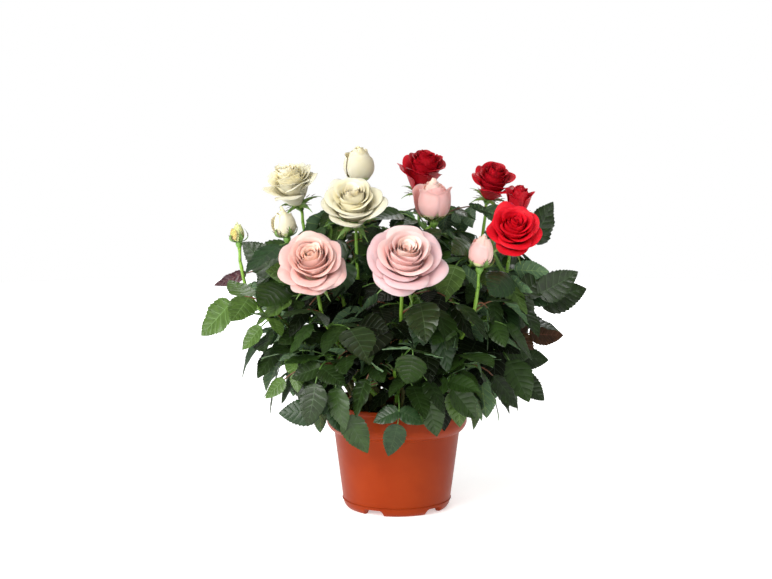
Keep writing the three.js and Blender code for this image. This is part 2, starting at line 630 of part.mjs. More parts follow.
// One leaf of a mass by the seeded rule. Leaves stand alternately round the stem, lean away from the middle of
// the bush, rise from it and droop at their ends, and hang more the lower they are.
function seededLeaf(mass, turn, random) {
  const share = 1 - (0.8 * turn) / LEAVES_PER_MASS;
  const stem = pointOn(mass.line, mix(MASS_START / CANE_STEPS, 1, share));
  const outward = Math.atan2(stem.y, stem.x);
  const spread = Math.PI * mix(1, 0.55, clamp01(Math.hypot(stem.x, stem.y) / 90));
  const golden = (turn * 0.618034 + mass.seed * 0.37 + random() * 0.5) % 1;
  const bearing = outward + spread * (2 * golden - 1);
  const rise = degrees(mix(15, 60, random()));
  const high = clamp01((stem.z - 105) / 150);
  const droop = degrees(mix(-70, -20, high) + mix(-18, 18, random()));
  const reach = mix(38, 60, random());
  const roll = mix(-0.35, 0.35, random());
  const size = mix(33, 45, random()) * mix(0.85, 1, share);
  const ahead = new THREE.Vector3(Math.cos(bearing), Math.sin(bearing), 0);
  const across = new THREE.Vector3(-Math.sin(bearing), Math.cos(bearing), 0);
  const first = ahead.clone().multiplyScalar(Math.cos(rise)).addScaledVector(UP, Math.sin(rise));
  const second = ahead.clone().multiplyScalar(Math.cos(droop)).addScaledVector(UP, Math.sin(droop));
  const knee = stem.clone().addScaledVector(first, 0.5 * reach);
  const root = knee.clone().addScaledVector(second, 0.5 * reach);
  return compoundLeaf(stem, knee, root, across.addScaledVector(UP, roll), size, reach > 43 ? 2 : 1);
}

// A leaf of EDGE_LEAVES, on a stalk from the nearest point of its mass's stem.
function edgeLeaf(mass, { root, tip, pairs }) {
  const [from, to] = [new THREE.Vector3(...root), new THREE.Vector3(...tip)];
  const way = to.clone().sub(from);
  const size = way.length();
  way.normalize();
  const shares = [0.5, 0.6, 0.7, 0.8, 0.9, 1].map((t) => pointOn(mass.line, t));
  const stem = shares.reduce((a, b) => (a.distanceTo(from) < b.distanceTo(from) ? a : b));
  const knee = from.clone().addScaledVector(way, -0.4 * from.distanceTo(stem));
  const up = new THREE.Vector3(from.x, from.y, 0).normalize().add(new THREE.Vector3(0, -1, 0.5));
  return compoundLeaf(stem.clone(), knee, from, up.cross(way), size, pairs);
}

function growLeaves(masses) {
  for (const edge of EDGE_LEAVES) {
    const mass = masses.find((m) => m.name === edge.mass);
    keep(mass, edgeLeaf(mass, edge));
  }
  for (let turn = 0; turn < LEAVES_PER_MASS; turn++)
    for (const mass of masses) {
      const random = randomFrom(mass.seed * 97 + turn * 7 + 1);
      let best = null;
      for (let attempt = 0; attempt < LEAF_TRIES; attempt++) {
        const leaf = trimmed(seededLeaf(mass, turn, random));
        if (leaf && (!best || leafletsOf(leaf).length > leafletsOf(best).length)) best = leaf;
      }
      if (best) keep(mass, best);
    }
}

function keep(mass, leaf) {
  mass.leaves.push(leaf);
  take(stalkPoints(leaf));
  for (const l of leafletsOf(leaf)) take(leafletPoints(l));
}

// Everything that a leaf has to stay clear of, as solids with the box round each.
const placed = [];

function place(solid, mass) {
  placed.push({ solid, box: solid.boundingBox(), mass });
}

// One leaflet on its own, without its root, for measuring what is near it.
function leafletSolid(leaf) {
  const outline = [onLeaflet(leaf, 0.08, 0)];
  for (const along of [0.28, 0.66]) outline.push(onLeaflet(leaf, along, -1));
  outline.push(onLeaflet(leaf, 1, 0));
  for (const along of [0.66, 0.28]) outline.push(onLeaflet(leaf, along, 1));
  return toSolid(blade(outline, onLeaflet(leaf, 0.35, 0), leaf.normal, 2 * STALK_RADIUS[1]));
}

function boxesMeet(a, b) {
  return [0, 1, 2].every((i) => a.min[i] - LEAF_GAP < b.max[i] && b.min[i] - LEAF_GAP < a.max[i]);
}

function meets(solid, others) {
  const box = solid.boundingBox();
  return placed.some((p) => others(p) && boxesMeet(box, p.box) && solid.minGap(p.solid, 2 * LEAF_GAP) < LEAF_GAP);
}

// Leaves out each leaf and leaflet that stands nearer than LEAF_GAP to something placed before it.
function pruneLeaves(masses) {
  const all = masses.flatMap((mass) => mass.leaves.map((leaf) => ({ mass, leaf })));
  for (const mass of masses) mass.leaves = [];
  for (const { mass, leaf } of all) {
    const stalk = toSolid(leafSolid(without(leaf, () => true)));
    const blocked = leafletsOf(leaf).filter((b) => meets(leafletSolid(b), () => true));
    if (meets(stalk, (p) => p.mass !== mass) || blocked.some((b) => !b.hand)) continue;
    const kept = without(leaf, (b) => blocked.includes(b));
    mass.leaves.push(kept);
    place(stalk, mass);
    for (const b of leafletsOf(kept)) place(leafletSolid(b), mass);
  }
}

function massSolid(mass) {
  const parts = [caneSolid(mass, MASS_START, CANE_STEPS, 3, CLEAR)];
  parts.push(...mass.leaves.map(leafSolid));
  return fuse(parts);
}

// ---- The plant ----

const canes = BLOOMS.map((bloom) => {
  const { foot, way } = pedicelFoot(bloom);
  return { bloom: bloom.name, line: caneLine(bloom.colour, foot, way) };
});
const masses = MASSES.map((mass, i) => {
  const turn = degrees(mass.bearing);
  const out = new THREE.Vector3(Math.cos(turn), Math.sin(turn), 0);
  const tip = out.clone().multiplyScalar(mass.reach).setZ(mass.height);
  const line = caneLine(mass.cutting, tip, out.add(new THREE.Vector3(0, 0, 0.6)).normalize());
  return { name: mass.name, seed: i + 1, line, leaves: [] };
});
relax([...canes, ...masses]);
for (const cane of [...canes, ...masses])
  for (let i = 0; i <= CANE_STEPS * 9; i++)
    take([{ at: pointOn(cane.line, i / (CANE_STEPS * 9)), radius: caneRadius(i / 9) + 0.5 }]);
for (const bloom of BLOOMS)
  for (let i = 0; i <= 6; i++) {
    const at = pedicelFoot(bloom).foot.lerp(new THREE.Vector3(...bloom.head), i / 6);
    take([{ at, radius: 4.5 }]);
  }
growLeaves(masses);

const bush = new THREE.Group();
const solids = [
  ['pot', pot(), 'pot', 0.45],
  ['soil', soil(), 'soil', 0.95],
];
for (const cane of canes)
  solids.push(['cane_' + cane.bloom, toSolid(caneSolid(cane, 0, CANE_STEPS, CANE_SIDES)), 'cane', 0.5]);
for (const bloom of BLOOMS) solids.push(['bloom_' + bloom.name, bloomSolid(bloom), bloom.colour, 0.6]);
for (const mass of masses)
  solids.push(['cane_' + mass.name, toSolid(caneSolid(mass, 0, MASS_START, CANE_SIDES)), 'cane', 0.5]);
for (const [, solid] of solids) place(solid);
for (const mass of masses) place(toSolid(caneSolid(mass, MASS_START, CANE_STEPS, 3, CLEAR)), mass);
pruneLeaves(masses);
for (const mass of masses) solids.push(['leaves_' + mass.name, massSolid(mass), 'leaf', 0.4]);
for (const [name, solid, colour, roughness] of solids) bush.add(named(name, solid, colour, roughness));

export default bush;
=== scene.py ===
"""A potted miniature rose bush with white, pink and red blooms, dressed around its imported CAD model.

Shapes are worked out in millimetres, as in the CAD source, and become metres when a mesh is made.
The canes and the leaves grow by the same rule and the same seeds as the solids, and then more finely.
"""
import math

import bpy
import numpy as np
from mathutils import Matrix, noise


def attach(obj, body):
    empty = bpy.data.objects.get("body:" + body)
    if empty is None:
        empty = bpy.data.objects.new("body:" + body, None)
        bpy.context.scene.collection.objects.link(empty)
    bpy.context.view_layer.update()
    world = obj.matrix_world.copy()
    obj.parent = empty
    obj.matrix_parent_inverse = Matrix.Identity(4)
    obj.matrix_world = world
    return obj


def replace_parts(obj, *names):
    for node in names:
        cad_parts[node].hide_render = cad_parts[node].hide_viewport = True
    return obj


MM = 0.001
UP = (0.0, 0.0, 1.0)
GOLDEN = 0.618034

# ---- The plant's sizes, as in the CAD source ----
RIM_RADIUS = 65
POT_HEIGHT = 97
SOIL_TOP = 86
CLEAR = 0.3
CUTTINGS = {"white": (-24, 9), "pink": (3, -24), "red": (24, 13)}
FOOT_SPREAD = 0.1
CANE_FOOT = 2.2
CANE_TIP = 1.5
CANE_FLARE = 1.35
CANE_STEPS = 6
CANE_GAP = 1.1
CANE_LEAN = 0.3  # this and the next two place the handles of a cane's curve
CANE_RISE = 0.36
CANE_ARRIVE = 0.34
FOOT_REACH = 44
BLOOM_GAP = 3
RELAX_ROUNDS = 120
PUSH = 0.6  # how much of the missing space each round makes
LEAST_PUSH = 0.3  # share of it that the further joint of a length takes
CANE_ROOM = 0.5  # between a cane and a leaf
CANE_POINTS = 9  # on each straight length, where it keeps leaves off
PEDICEL_ROOM = 4.5
MASS_START = 2
LEAVES_PER_MASS = 9
LEAF_TRIES = 24
STALK_ROOM = 0.85 + 0.5  # the stalk's radius, and free space round it
LEAFLET_WIDTH = 0.64
PAIR_STEP = 0.34
CROWN_REACH = (179, 167)  # half the crown's width and depth
CROWN_WIDEST = 150  # height where it is widest
CROWN_FOOT = 84  # half its width at its lowest leaves
CROWN_ROUND = 2.6  # 2 would make its top an ellipse, and more makes it squarer
POT_ROOM = (4, 5)  # beside the rim and over it
LOWEST_LEAF = 58
PEDICEL = 12
HIP = 6.5
HEAD_TALL = (1.25, 0.6)  # height of a bud and of an open rose, as shares of the width
FOLD = 0.2  # how steeply each half of a leaflet rises from its midrib
ARCH = 0.1  # how far its tip bows down, as a share of its length
CELL = 9

# Each bloom: its colour, the middle of its head, the way it faces, its width, how far it is open,
# and the tint of its petals.
BLOOMS = {
    "white_left": ("white", (-96, 25, 291), (-0.3, -0.45, 0.85), 53, 0.85, "ivory"),
    "white_top": ("white", (-36, 75, 311), (-0.05, -0.15, 1), 29, 0.25, "cream"),
    "white_middle": ("white", (-38, -40, 275), (-0.05, -0.7, 0.72), 56, 0.8, "ivory"),
    "white_small": ("white", (-101, -15, 260), (-0.18, -0.1, 1), 21, 0.12, "cream"),
    "green_bud": ("white", (-145, 10, 250), (-0.1, -0.05, 1), 13, 0, "green_ivory"),
    "pink_left": ("pink", (-71, -85, 227), (-0.08, -0.8, 0.6), 62, 0.95, "salmon"),
    "pink_middle": ("pink", (6, -105, 231), (0.08, -0.75, 0.66), 69, 1, "blush"),
    "pink_half": ("pink", (33, 0, 279), (-0.03, -0.2, 1), 35, 0.35, "rose"),
    "pink_small": ("pink", (72, -70, 238), (0.12, -0.12, 1), 22, 0.15, "rose"),
    "red_top": ("red", (26, 85, 302), (0.12, -0.4, 0.92), 51, 0.7, "crimson"),
    "red_back": ("red", (91, 68, 293), (0.2, -0.5, 0.84), 46, 0.85, "crimson"),
    "red_small": ("red", (112, 22, 278), (0.1, -0.3, 0.95), 28, 0.45, "crimson"),
    "red_front": ("red", (102, -35, 253), (0.06, -0.78, 0.62), 52, 0.9, "scarlet"),
}

# Each mass of leaves: its cutting, and the bearing, reach and height of its top.
MASSES = {
    "low_front": ("pink", 268, 74, 136),
    "low_front_left": ("pink", 226, 80, 140),
    "low_left": ("white", 184, 90, 156),
    "low_back_left": ("white", 138, 84, 144),
    "low_back": ("white", 94, 80, 140),
    "low_back_right": ("red", 50, 84, 146),
    "low_right": ("red", 2, 88, 152),
    "low_front_right": ("pink", 314, 80, 138),
    "high_front": ("pink", 284, 62, 200),
    "high_left": ("white", 204, 84, 230),
    "high_back_left": ("white", 130, 84, 236),
    "high_back_right": ("red", 62, 84, 242),
    "high_right": ("red", 350, 86, 238),
    "top_left": ("white", 160, 38, 260),
    "top_right": ("red", 20, 42, 264),
}

# Leaves at the crown's edge: mass, root and tip of the end leaflet, pairs of side leaflets, and tint.
EDGE_LEAVES = [
    ("low_left", (-147, -30, 190), (-178, -26, 160), 1, "light"),
    ("high_left", (-138, 16, 212), (-171, 20, 202), 1, "burgundy_end"),
    ("high_left", (-108, -22, 216), (-139, -14, 243), 0, "dark"),
    ("low_left", (-118, -58, 172), (-136, -60, 152), 1, "light"),
    ("low_front_left", (-98, -60, 126), (-115, -60, 109), 1, "light"),
    ("low_front_left", (-66, -78, 101), (-102, -76, 101), 1, "blue"),
    ("low_front", (-44, -84, 98), (-24, -84, 66), 0, "mid"),
    ("low_front", (0, -88, 92), (-6, -87, 62), 1, "blue"),
    ("low_front_right", (27, -86, 112), (31, -85, 80), 0, "mid"),
    ("low_front_right", (46, -82, 122), (70, -78, 95), 2, "mid"),
    ("low_right", (110, -12, 122), (136, -10, 98), 1, "dark"),
    ("low_right", (106, 8, 136), (140, 10, 133), 0, "dark"),
    ("low_right", (122, 18, 156), (155, 20, 154), 1, "bronze"),
    ("high_right", (134, 42, 182), (178, 46, 199), 1, "dark"),
    ("high_right", (126, -18, 196), (163, -18, 214), 1, "dark"),
    ("high_right", (124, 16, 240), (147, 20, 277), 0, "dark"),
    ("low_back", (8, 132, 160), (12, 166, 146), 1, "mid"),
    ("low_front", (12, -134, 158), (10, -166, 142), 1, "mid"),
]

# ---- What grows here beyond the solids ----
FINE_TURNS = 24  # more leaves on each leafy cane
FINE_TRIES = 10
FINE_NEAR = 0.1  # share of a leaf's clearance that a finer leaf keeps
FINE_REACH = ((80, 0.58), (190, 0.92))  # two heights, and how much of the crown's reach they fill there
FLOWER_CANE_LEAVES = 9
EDGE_LOOSE = 0.35  # how far the leaves at the crown's edge bend and turn, against the others
END_SLIM = 0.5  # width of the one burgundy end leaflet, against the others
TINTS = ("dark", "dark", "dark", "mid", "mid", "mid", "dark", "blue", "dark", "light", "dark", "mid")
YOUNG_TINTS = ("olive", "light", "bronze")
PAINTED_SHADE_REACH = 0.52  # share of the crown's reach inside which leaves get the darkest tint, a painted shade
PAINTED_SHADE_TOP = 215
YOUNG_FROM = 0.72  # share of the crown's reach outside which some leaves are young
YOUNG_SHARE = 0.1
PIECE_FULL = 152000  # triangles, beyond which the next cane's leaves start a new piece


# ---- Vectors as plain triples ----
def add(a, b, k=1.0):
    return (a[0] + b[0] * k, a[1] + b[1] * k, a[2] + b[2] * k)


def sub(a, b):
    return (a[0] - b[0], a[1] - b[1], a[2] - b[2])


def dot(a, b):
    return a[0] * b[0] + a[1] * b[1] + a[2] * b[2]


def cross(a, b):
    return (a[1] * b[2] - a[2] * b[1], a[2] * b[0] - a[0] * b[2], a[0] * b[1] - a[1] * b[0])


def scaled(a, k):
    return (a[0] * k, a[1] * k, a[2] * k)


def unit(a):
    return scaled(a, 1 / math.sqrt(dot(a, a)))


def between(a, b, t):
    return add(a, sub(b, a), t)


def around(radius, turn, z):
    """A point at this distance and bearing from an upright axis."""
    return (radius * math.cos(turn), radius * math.sin(turn), z)


def mix(a, b, t):
    return (1 - t) * a + t * b


def clamp01(x):
    return max(0.0, min(1.0, x))


def bezier(points, t):
    """A point of the quadratic or cubic curve with these control points."""
    n = len(points) - 1
    weights = [math.comb(n, i) * (1 - t) ** (n - i) * t**i for i in range(n + 1)]
    return tuple(sum(w * p[axis] for w, p in zip(weights, points)) for axis in range(3))


def random_from(seed):
    """Repeatable numbers from 0 to 1, by a 32-bit linear congruence."""
    state = (seed * 2654435761) & 0xFFFFFFFF

    def draw():
        nonlocal state
        state = (state * 1664525 + 1013904223) & 0xFFFFFFFF
        return state / 4294967296

    return draw


def random_of(name, step=0):
    return random_from(sum(map(ord, name)) + step)


# ---- Canes ----
def cane_line(cutting, tip, tip_way):
    cx, cy = CUTTINGS[cutting]
    dx, dy = tip[0] - cx, tip[1] - cy
    foot = (cx + FOOT_SPREAD * dx, cy + FOOT_SPREAD * dy, SOIL_TOP + CLEAR)
    length = math.dist(foot, tip)
    leave = add(foot, (CANE_LEAN * dx, CANE_LEAN * dy, CANE_RISE * length))
    arrive = add(tip, tip_way, -CANE_ARRIVE * length)
    return [bezier((foot, leave, arrive, tip), i / CANE_STEPS) for i in range(CANE_STEPS + 1)]


def cane_radius(step):
    flare = CANE_FLARE if step == 0 else 1
    return flare * mix(CANE_FOOT, CANE_TIP, step / CANE_STEPS)


def nearest(a, b, c, d):
    """The nearest points of the straight lengths ab and cd, as shares along each."""
    u, v, w = sub(b, a), sub(d, c), sub(a, c)
    uu, uv, vv, uw, vw = dot(u, u), dot(u, v), dot(v, v), dot(u, w), dot(v, w)
    parallel = uu * vv - uv * uv < 1e-6 * uu * vv
    s = 0.5 if parallel else clamp01((uv * vw - vv * uw) / (uu * vv - uv * uv))
    t = clamp01((uv * s + vw) / vv)
    return clamp01((uv * t - uw) / uu), t


def far_apart(a, b, c, d, least):
    """True if the middles of ab and cd are too far apart for them to come as near as least."""
    apart = math.dist(between(a, b, 0.5), between(c, d, 0.5))
    return apart > 0.5 * (math.dist(a, b) + math.dist(c, d)) + least


def push(line, i, share, by):
    """Moves a cane's length i by its two joints. The tip stays, and the foot keeps its height."""
    if i + 1 < CANE_STEPS:
        line[i + 1] = add(line[i + 1], by, max(share, LEAST_PUSH))
    line[i] = add(line[i], by, max(1 - share, LEAST_PUSH))
    if i > 0:
        return
    x, y, _ = line[0]
    shrink = min(1, FOOT_REACH / math.hypot(x, y))
    line[0] = (x * shrink, y * shrink, SOIL_TOP + CLEAR)


def separate(one, other):
    """Pushes two canes apart. Each length of one is held against five lengths of the other."""
    for i in range(CANE_STEPS):
        for j in range(max(0, i - 2), min(CANE_STEPS, i + 3)):
            least = cane_radius(i) + cane_radius(j) + CANE_GAP
            if far_apart(one[i], one[i + 1], other[j], other[j + 1], least):
                continue
            s, t = nearest(one[i], one[i + 1], other[j], other[j + 1])
            apart = sub(between(one[i], one[i + 1], s), between(other[j], other[j + 1], t))
            gap = math.sqrt(dot(apart, apart))
            if gap >= least:
                continue
            apart = scaled(apart, (PUSH * (least - gap)) / (gap + 1e-6))
            push(one, i, s, apart)
            push(other, j, t, scaled(apart, -1))


def avoid(line, head, room):
    """Pushes a cane out of a bloom's room."""
    above = add(head, (0, 0, 0.01))
    for i in range(CANE_STEPS):
        if far_apart(line[i], line[i + 1], head, above, room):
            continue
        s, _ = nearest(line[i], line[i + 1], head, above)
        apart = sub(between(line[i], line[i + 1], s), head)
        short = room - math.sqrt(dot(apart, apart))
        if short > 0:
            push(line, i, s, scaled(unit(apart), PUSH * short))


def relax(canes):
    """Pushes canes apart from each other and from every bloom that isn't their own."""
    for _ in range(RELAX_ROUNDS):
        for a, cane in enumerate(canes):
            for other in canes[a + 1 :]:
                separate(cane["line"], other["line"])
            for name, (_, head, _, width, *_) in BLOOMS.items():
                if name != cane["name"]:
                    avoid(cane["line"], head, width / 2 + BLOOM_GAP)


def point_on(line, t):
    at = min(t * CANE_STEPS, CANE_STEPS - 1e-9)
    i = math.floor(at)
    return between(line[i], line[i + 1], at - i)


# ---- Where a bloom stands ----
def head_height(width, opened):
    return width * mix(*HEAD_TALL, opened)


def hip_of(bloom):
    _, head, faces, width, opened, _ = bloom
    return add(head, unit(faces), -(HIP + 0.5 * head_height(width, opened)))


def pedicel_foot(bloom):
    way = unit(add(scaled(unit(bloom[2]), 0.4), UP, 0.75))
    return add(hip_of(bloom), way, -PEDICEL), way


# ---- Leaves ----
taken = {}


def cell_of(at):
    return (math.floor(at[0] / CELL), math.floor(at[1] / CELL), math.floor(at[2] / CELL))


def take(at, radius):
    taken.setdefault(cell_of(at), []).append((at, radius))


def touches(at, radius):
    cx, cy, cz = cell_of(at)
    for x in (cx - 1, cx, cx + 1):
        for y in (cy - 1, cy, cy + 1):
            for z in (cz - 1, cz, cz + 1):
                for other, size in taken.get((x, y, z), ()):
                    if math.dist(at, other) < radius + size:
                        return True
    return False


def crown_half_width(z):
    if z < CROWN_WIDEST:
        rise = clamp01((z - LOWEST_LEAF) / (CROWN_WIDEST - LOWEST_LEAF)) ** 0.8
        return CROWN_FOOT + (CROWN_REACH[0] - CROWN_FOOT) * rise
    fall = clamp01((z - CROWN_WIDEST) / CROWN_WIDEST) ** CROWN_ROUND
    return CROWN_REACH[0] * (1 - fall) ** (1 / CROWN_ROUND)


def fine_share(z):
    (low, least), (high, most) = FINE_REACH
    return mix(least, most, clamp01((z - low) / (high - low)))


def outside_crown(at, fine):
    """True beyond the crown, or the part of it that finer leaves fill, or in the pot or a bloom."""
    x, y, z = at
    half = crown_half_width(z) * (fine_share(z) if fine else 1)
    depth = (half * CROWN_REACH[1]) / CROWN_REACH[0]
    if z < LOWEST_LEAF or half <= 0 or math.hypot(x / half, y / depth) > 1:
        return True
    if math.hypot(x, y) < RIM_RADIUS + POT_ROOM[0] and z < POT_HEIGHT + POT_ROOM[1]:
        return True
    return any(math.dist(at, head) < width / 2 + BLOOM_GAP for _, head, _, width, *_ in BLOOMS.values())


def free(points, radius, fine):
    return not any(outside_crown(at, fine) or touches(at, radius) for at in points)


def leaflet(root, way, up, length, hand=0):
    normal = unit(add(up, way, -dot(up, way)))
    side = cross(normal, way)
    return {"root": root, "way": way, "normal": normal, "side": side, "length": length, "hand": hand}


def half_width(length, along):
    return 0.5 * LEAFLET_WIDTH * length * math.sin(math.pi * along**0.82) ** 0.75


def on_leaflet(blade, along, across):
    size = blade["length"]
    out = across * half_width(size, min(along, 1 - 1e-12))
    lift = FOLD * abs(out) - ARCH * size * along * along
    at = add(blade["root"], blade["way"], along * size)
    return add(add(at, blade["side"], out), blade["normal"], lift)


def leaflet_points(blade):
    rows = (0.12, 0.3, 0.48, 0.66, 0.84, 1)
    return [on_leaflet(blade, along, across) for along in rows for across in (-0.85, -0.3, 0.3, 0.85)]


def leaflet_radius(blade):
    return 0.065 * blade["length"]


def curve_way(curve, t):
    return unit(sub(bezier(curve, min(1, t + 0.0001)), bezier(curve, max(0, t - 0.0001))))


def compound_leaf(stem, knee, root, across, size, pairs):
    """A bowed stalk from the stem, an end leaflet, and pairs of smaller ones behind it."""
    curve = (stem, knee, root)
    blades = []
    for i in range(pairs, -1, -1):
        t = 1 - PAIR_STEP * i
        way = curve_way(curve, t)
        side = unit(add(across, way, -dot(across, way)))
        normal = cross(way, side)
        at = bezier(curve, t)
        if i == 0:
            blades.append(leaflet(at, way, normal, size))
            continue
        for hand in (1, -1):
            out = add(add(scaled(way, 0.42), side, 0.9 * hand), normal, -0.12)
            face = add(normal, side, 0.18 * hand)
            blades.append(leaflet(at, unit(out), face, size * (0.96 - 0.16 * i), hand))
    return {"curve": curve, "blades": blades}


def stalk_points(leaf):
    return [bezier(leaf["curve"], t) for t in (0.2, 0.36, 0.52, 0.68, 0.84, 1)]


def trimmed(leaf, fine):
    """The leaf with only its free leaflets, or None if its stalk or its end leaflet isn't free."""
    end = next(b for b in leaf["blades"] if not b["hand"])
    near = FINE_NEAR if fine else 1

    def clear(blade):
        return free(leaflet_points(blade), leaflet_radius(blade) * near, fine)

    if not free(stalk_points(leaf), STALK_ROOM * near, fine) or not clear(end):
        return None
    return {**leaf, "blades": [b for b in leaf["blades"] if b is end or clear(b)]}


def seeded_leaf(cane, turn, random, fine):
    """One leaf by the seeded rule: it leans out, rises from the stem and droops at its end."""
    share = 1 - 0.9 * (turn * GOLDEN % 1) if fine else 1 - 0.8 * turn / LEAVES_PER_MASS
    stem = point_on(cane["line"], mix(cane["start"], cane["end"], share))
    outward = math.atan2(stem[1], stem[0])
    spread = math.pi * mix(1, 0.55, clamp01(math.hypot(stem[0], stem[1]) / 90))
    golden = (turn * GOLDEN + cane["seed"] * 0.37 + random() * 0.5) % 1
    bearing = outward + spread * (2 * golden - 1)
    rise = math.radians(mix(15, 60, random()))
    high = clamp01((stem[2] - 105) / 150)
    droop = math.radians(mix(-70, -20, high) + mix(-18, 18, random()))
    reach = mix(38, 60, random())
    roll = mix(-0.35, 0.35, random())
    if fine:
        droop = math.radians(mix(-30, -24, high) + mix(-36, 36, random()))
        reach = mix(20, 58, random())
        roll *= 2.4
    size = mix(33, 45, random()) * mix(0.85, 1, share)
    ahead = around(1, bearing, 0)
    across = (-math.sin(bearing), math.cos(bearing), 0)
    first = add(scaled(ahead, math.cos(rise)), UP, math.sin(rise))
    second = add(scaled(ahead, math.cos(droop)), UP, math.sin(droop))
    knee = add(stem, first, 0.5 * reach)
    root = add(knee, second, 0.5 * reach)
    return compound_leaf(stem, knee, root, add(across, UP, roll), size, 2 if reach > 43 else 1)


def edge_leaf(cane, root, tip, pairs):
    """One leaf of the table above, on a stalk from the nearest of six points of its cane."""
    way = sub(tip, root)
    size = math.sqrt(dot(way, way))
    way = unit(way)
    stems = [point_on(cane["line"], t) for t in (0.5, 0.6, 0.7, 0.8, 0.9, 1)]
    stem = min(stems, key=lambda p: math.dist(p, root))
    knee = add(root, way, -0.4 * math.dist(root, stem))
    up = add(unit((root[0], root[1], 0)), (0, -1, 0.5))
    return compound_leaf(stem, knee, root, cross(up, way), size, pairs)


def keep(cane, leaf, tint, loose=1):
    """Gives the cane a leaf, and takes up the leaf's space."""
    cane["leaves"].append({**leaf, "tint": tint, "loose": loose})
    for at in stalk_points(leaf):
        take(at, STALK_ROOM)
    for blade in leaf["blades"]:
        for at in leaflet_points(blade):
            take(at, leaflet_radius(blade))


def tint_of(leaf, seed):
    """Painted shade: the darkest tint inside the crown, and mostly dark outside. A few at its edge are
    young, reddish or pale.
    """
    random = random_from(seed)
    tip = leaf["curve"][2]
    share = math.hypot(tip[0], tip[1]) / crown_half_width(tip[2])
    # the darkest tint paints the shade that falls on leaves well inside the crown
    if share < PAINTED_SHADE_REACH and tip[2] < PAINTED_SHADE_TOP:
        return "deep"
    if share > YOUNG_FROM and random() < YOUNG_SHARE:
        return YOUNG_TINTS[int(random() * len(YOUNG_TINTS))]
    return TINTS[int(random() * len(TINTS))]


def best_leaf(cane, turn, fine):
    random = random_from(cane["seed"] * 97 + turn * 7 + 1)
    best = None
    for _ in range(FINE_TRIES if fine else LEAF_TRIES):
        leaf = trimmed(seeded_leaf(cane, turn, random, fine), fine)
        if leaf and (not best or len(leaf["blades"]) > len(best["blades"])):
            best = leaf
    return best


def grow(canes, turns, fine):
    for turn in turns:
        for cane in canes:
            leaf = best_leaf(cane, turn, fine)
            if leaf:
                keep(cane, leaf, tint_of(leaf, cane["seed"] * 37 + turn))


def new_cane(name, seed, line, start, end):
    """A cane that bears leaves from start to end, as shares of its length."""
    return {"name": name, "seed": seed, "line": line, "leaves": [], "start": start, "end": end}


def flower_canes():
    canes = []
    for i, (name, bloom) in enumerate(BLOOMS.items()):
        canes.append(new_cane(name, 101 + i, cane_line(bloom[0], *pedicel_foot(bloom)), 0.35, 0.86))
    return canes


def leafy_canes():
    canes = []
    for i, (name, (cutting, bearing, reach, height)) in enumerate(MASSES.items()):
        turn = math.radians(bearing)
        way = unit(add(around(1, turn, 0), UP, 0.6))
        line = cane_line(cutting, around(reach, turn, height), way)
        canes.append(new_cane(name, i + 1, line, MASS_START / CANE_STEPS, 1))
    return canes


def grow_plant():
    """The flower canes and the leafy canes, with all their leaves."""
    flowers, leafy = flower_canes(), leafy_canes()
    relax(flowers + leafy)
    for cane in flowers + leafy:
        for i in range(CANE_STEPS * CANE_POINTS + 1):
            at = point_on(cane["line"], i / (CANE_STEPS * CANE_POINTS))
            take(at, cane_radius(i / CANE_POINTS) + CANE_ROOM)
    for bloom in BLOOMS.values():
        for i in range(7):
            take(between(pedicel_foot(bloom)[0], bloom[1], i / 6), PEDICEL_ROOM)
    for name, root, tip, pairs, tint in EDGE_LEAVES:
        bearer = next(c for c in leafy if c["name"] == name)
        keep(bearer, edge_leaf(bearer, root, tip, pairs), tint, EDGE_LOOSE)
    grow(leafy, range(LEAVES_PER_MASS), fine=False)
    grow(flowers, range(FLOWER_CANE_LEAVES), fine=True)
    grow(leafy, range(LEAVES_PER_MASS, LEAVES_PER_MASS + FINE_TURNS), fine=True)
    return flowers, leafy


# ---- Meshes ----
def placed(name, data):
    """A new object in the scene, made of a mesh, a lamp or a camera."""
    made = bpy.data.objects.new(name, data)
    bpy.context.scene.collection.objects.link(made)
    return made


class Sheaf:
    """Gathers points in millimetres and faces, which become one piece."""

    def __init__(self):
        self.points, self.sizes, self.loops, self.slots = [], [], [], []
        self.count = 0
        self.triangles = 0

    def add(self, points, sizes, loops, slots):
        """sizes holds each face's number of corners, loops its corners, and slots its material."""
        sizes = np.asarray(sizes)
        self.points.append(np.asarray(points, float))
        self.sizes.append(sizes)
        self.loops.append(np.asarray(loops) + self.count)
        self.slots.append(np.broadcast_to(slots, sizes.shape))
        self.count += len(points)
        self.triangles += int(sizes.sum() - 2 * len(sizes))

    def add_round(self, points, columns, slot, flip=False):
        """Rows of points that each close on themselves, joined by four-sided faces."""
        quads = grid_loops(len(points) // columns, columns, wrap=True)
        self.add(points, [4] * len(quads), (quads[:, ::-1] if flip else quads).ravel(), slot)

    def piece(self, name, materials, slot, sharp=None):
        points = np.concatenate(self.points) * MM
        sizes, loops = np.concatenate(self.sizes), np.concatenate(self.loops)
        mesh = bpy.data.meshes.new(name)
        mesh.vertices.add(len(points))
        mesh.vertices.foreach_set("co", points.ravel())
        mesh.loops.add(len(loops))
        mesh.loops.foreach_set("vertex_index", loops.astype(np.int32))
        mesh.polygons.add(len(sizes))
        mesh.polygons.foreach_set("loop_start", (np.cumsum(sizes) - sizes).astype(np.int32))
        for material in materials:
            mesh.materials.append(material)
        mesh.polygons.foreach_set("material_index", np.concatenate(self.slots).astype(np.int32))
        mesh.update(calc_edges=True)
        mesh.shade_smooth()
        if sharp:
            mesh.set_sharp_from_angle(angle=math.radians(sharp))
        piece = placed(name, mesh)
        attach(piece, "root")
        return piece


def grid_loops(rows, columns, wrap=False):
    """The corners of the four-sided faces of a grid of points, row by row."""
    across = np.arange(columns if wrap else columns - 1)
    row = np.arange(rows - 1)[:, None] * columns
    here, there = row + across, row + (across + 1) % columns
    return np.stack([here, there, there + columns, here + columns], -1).reshape(-1, 4)


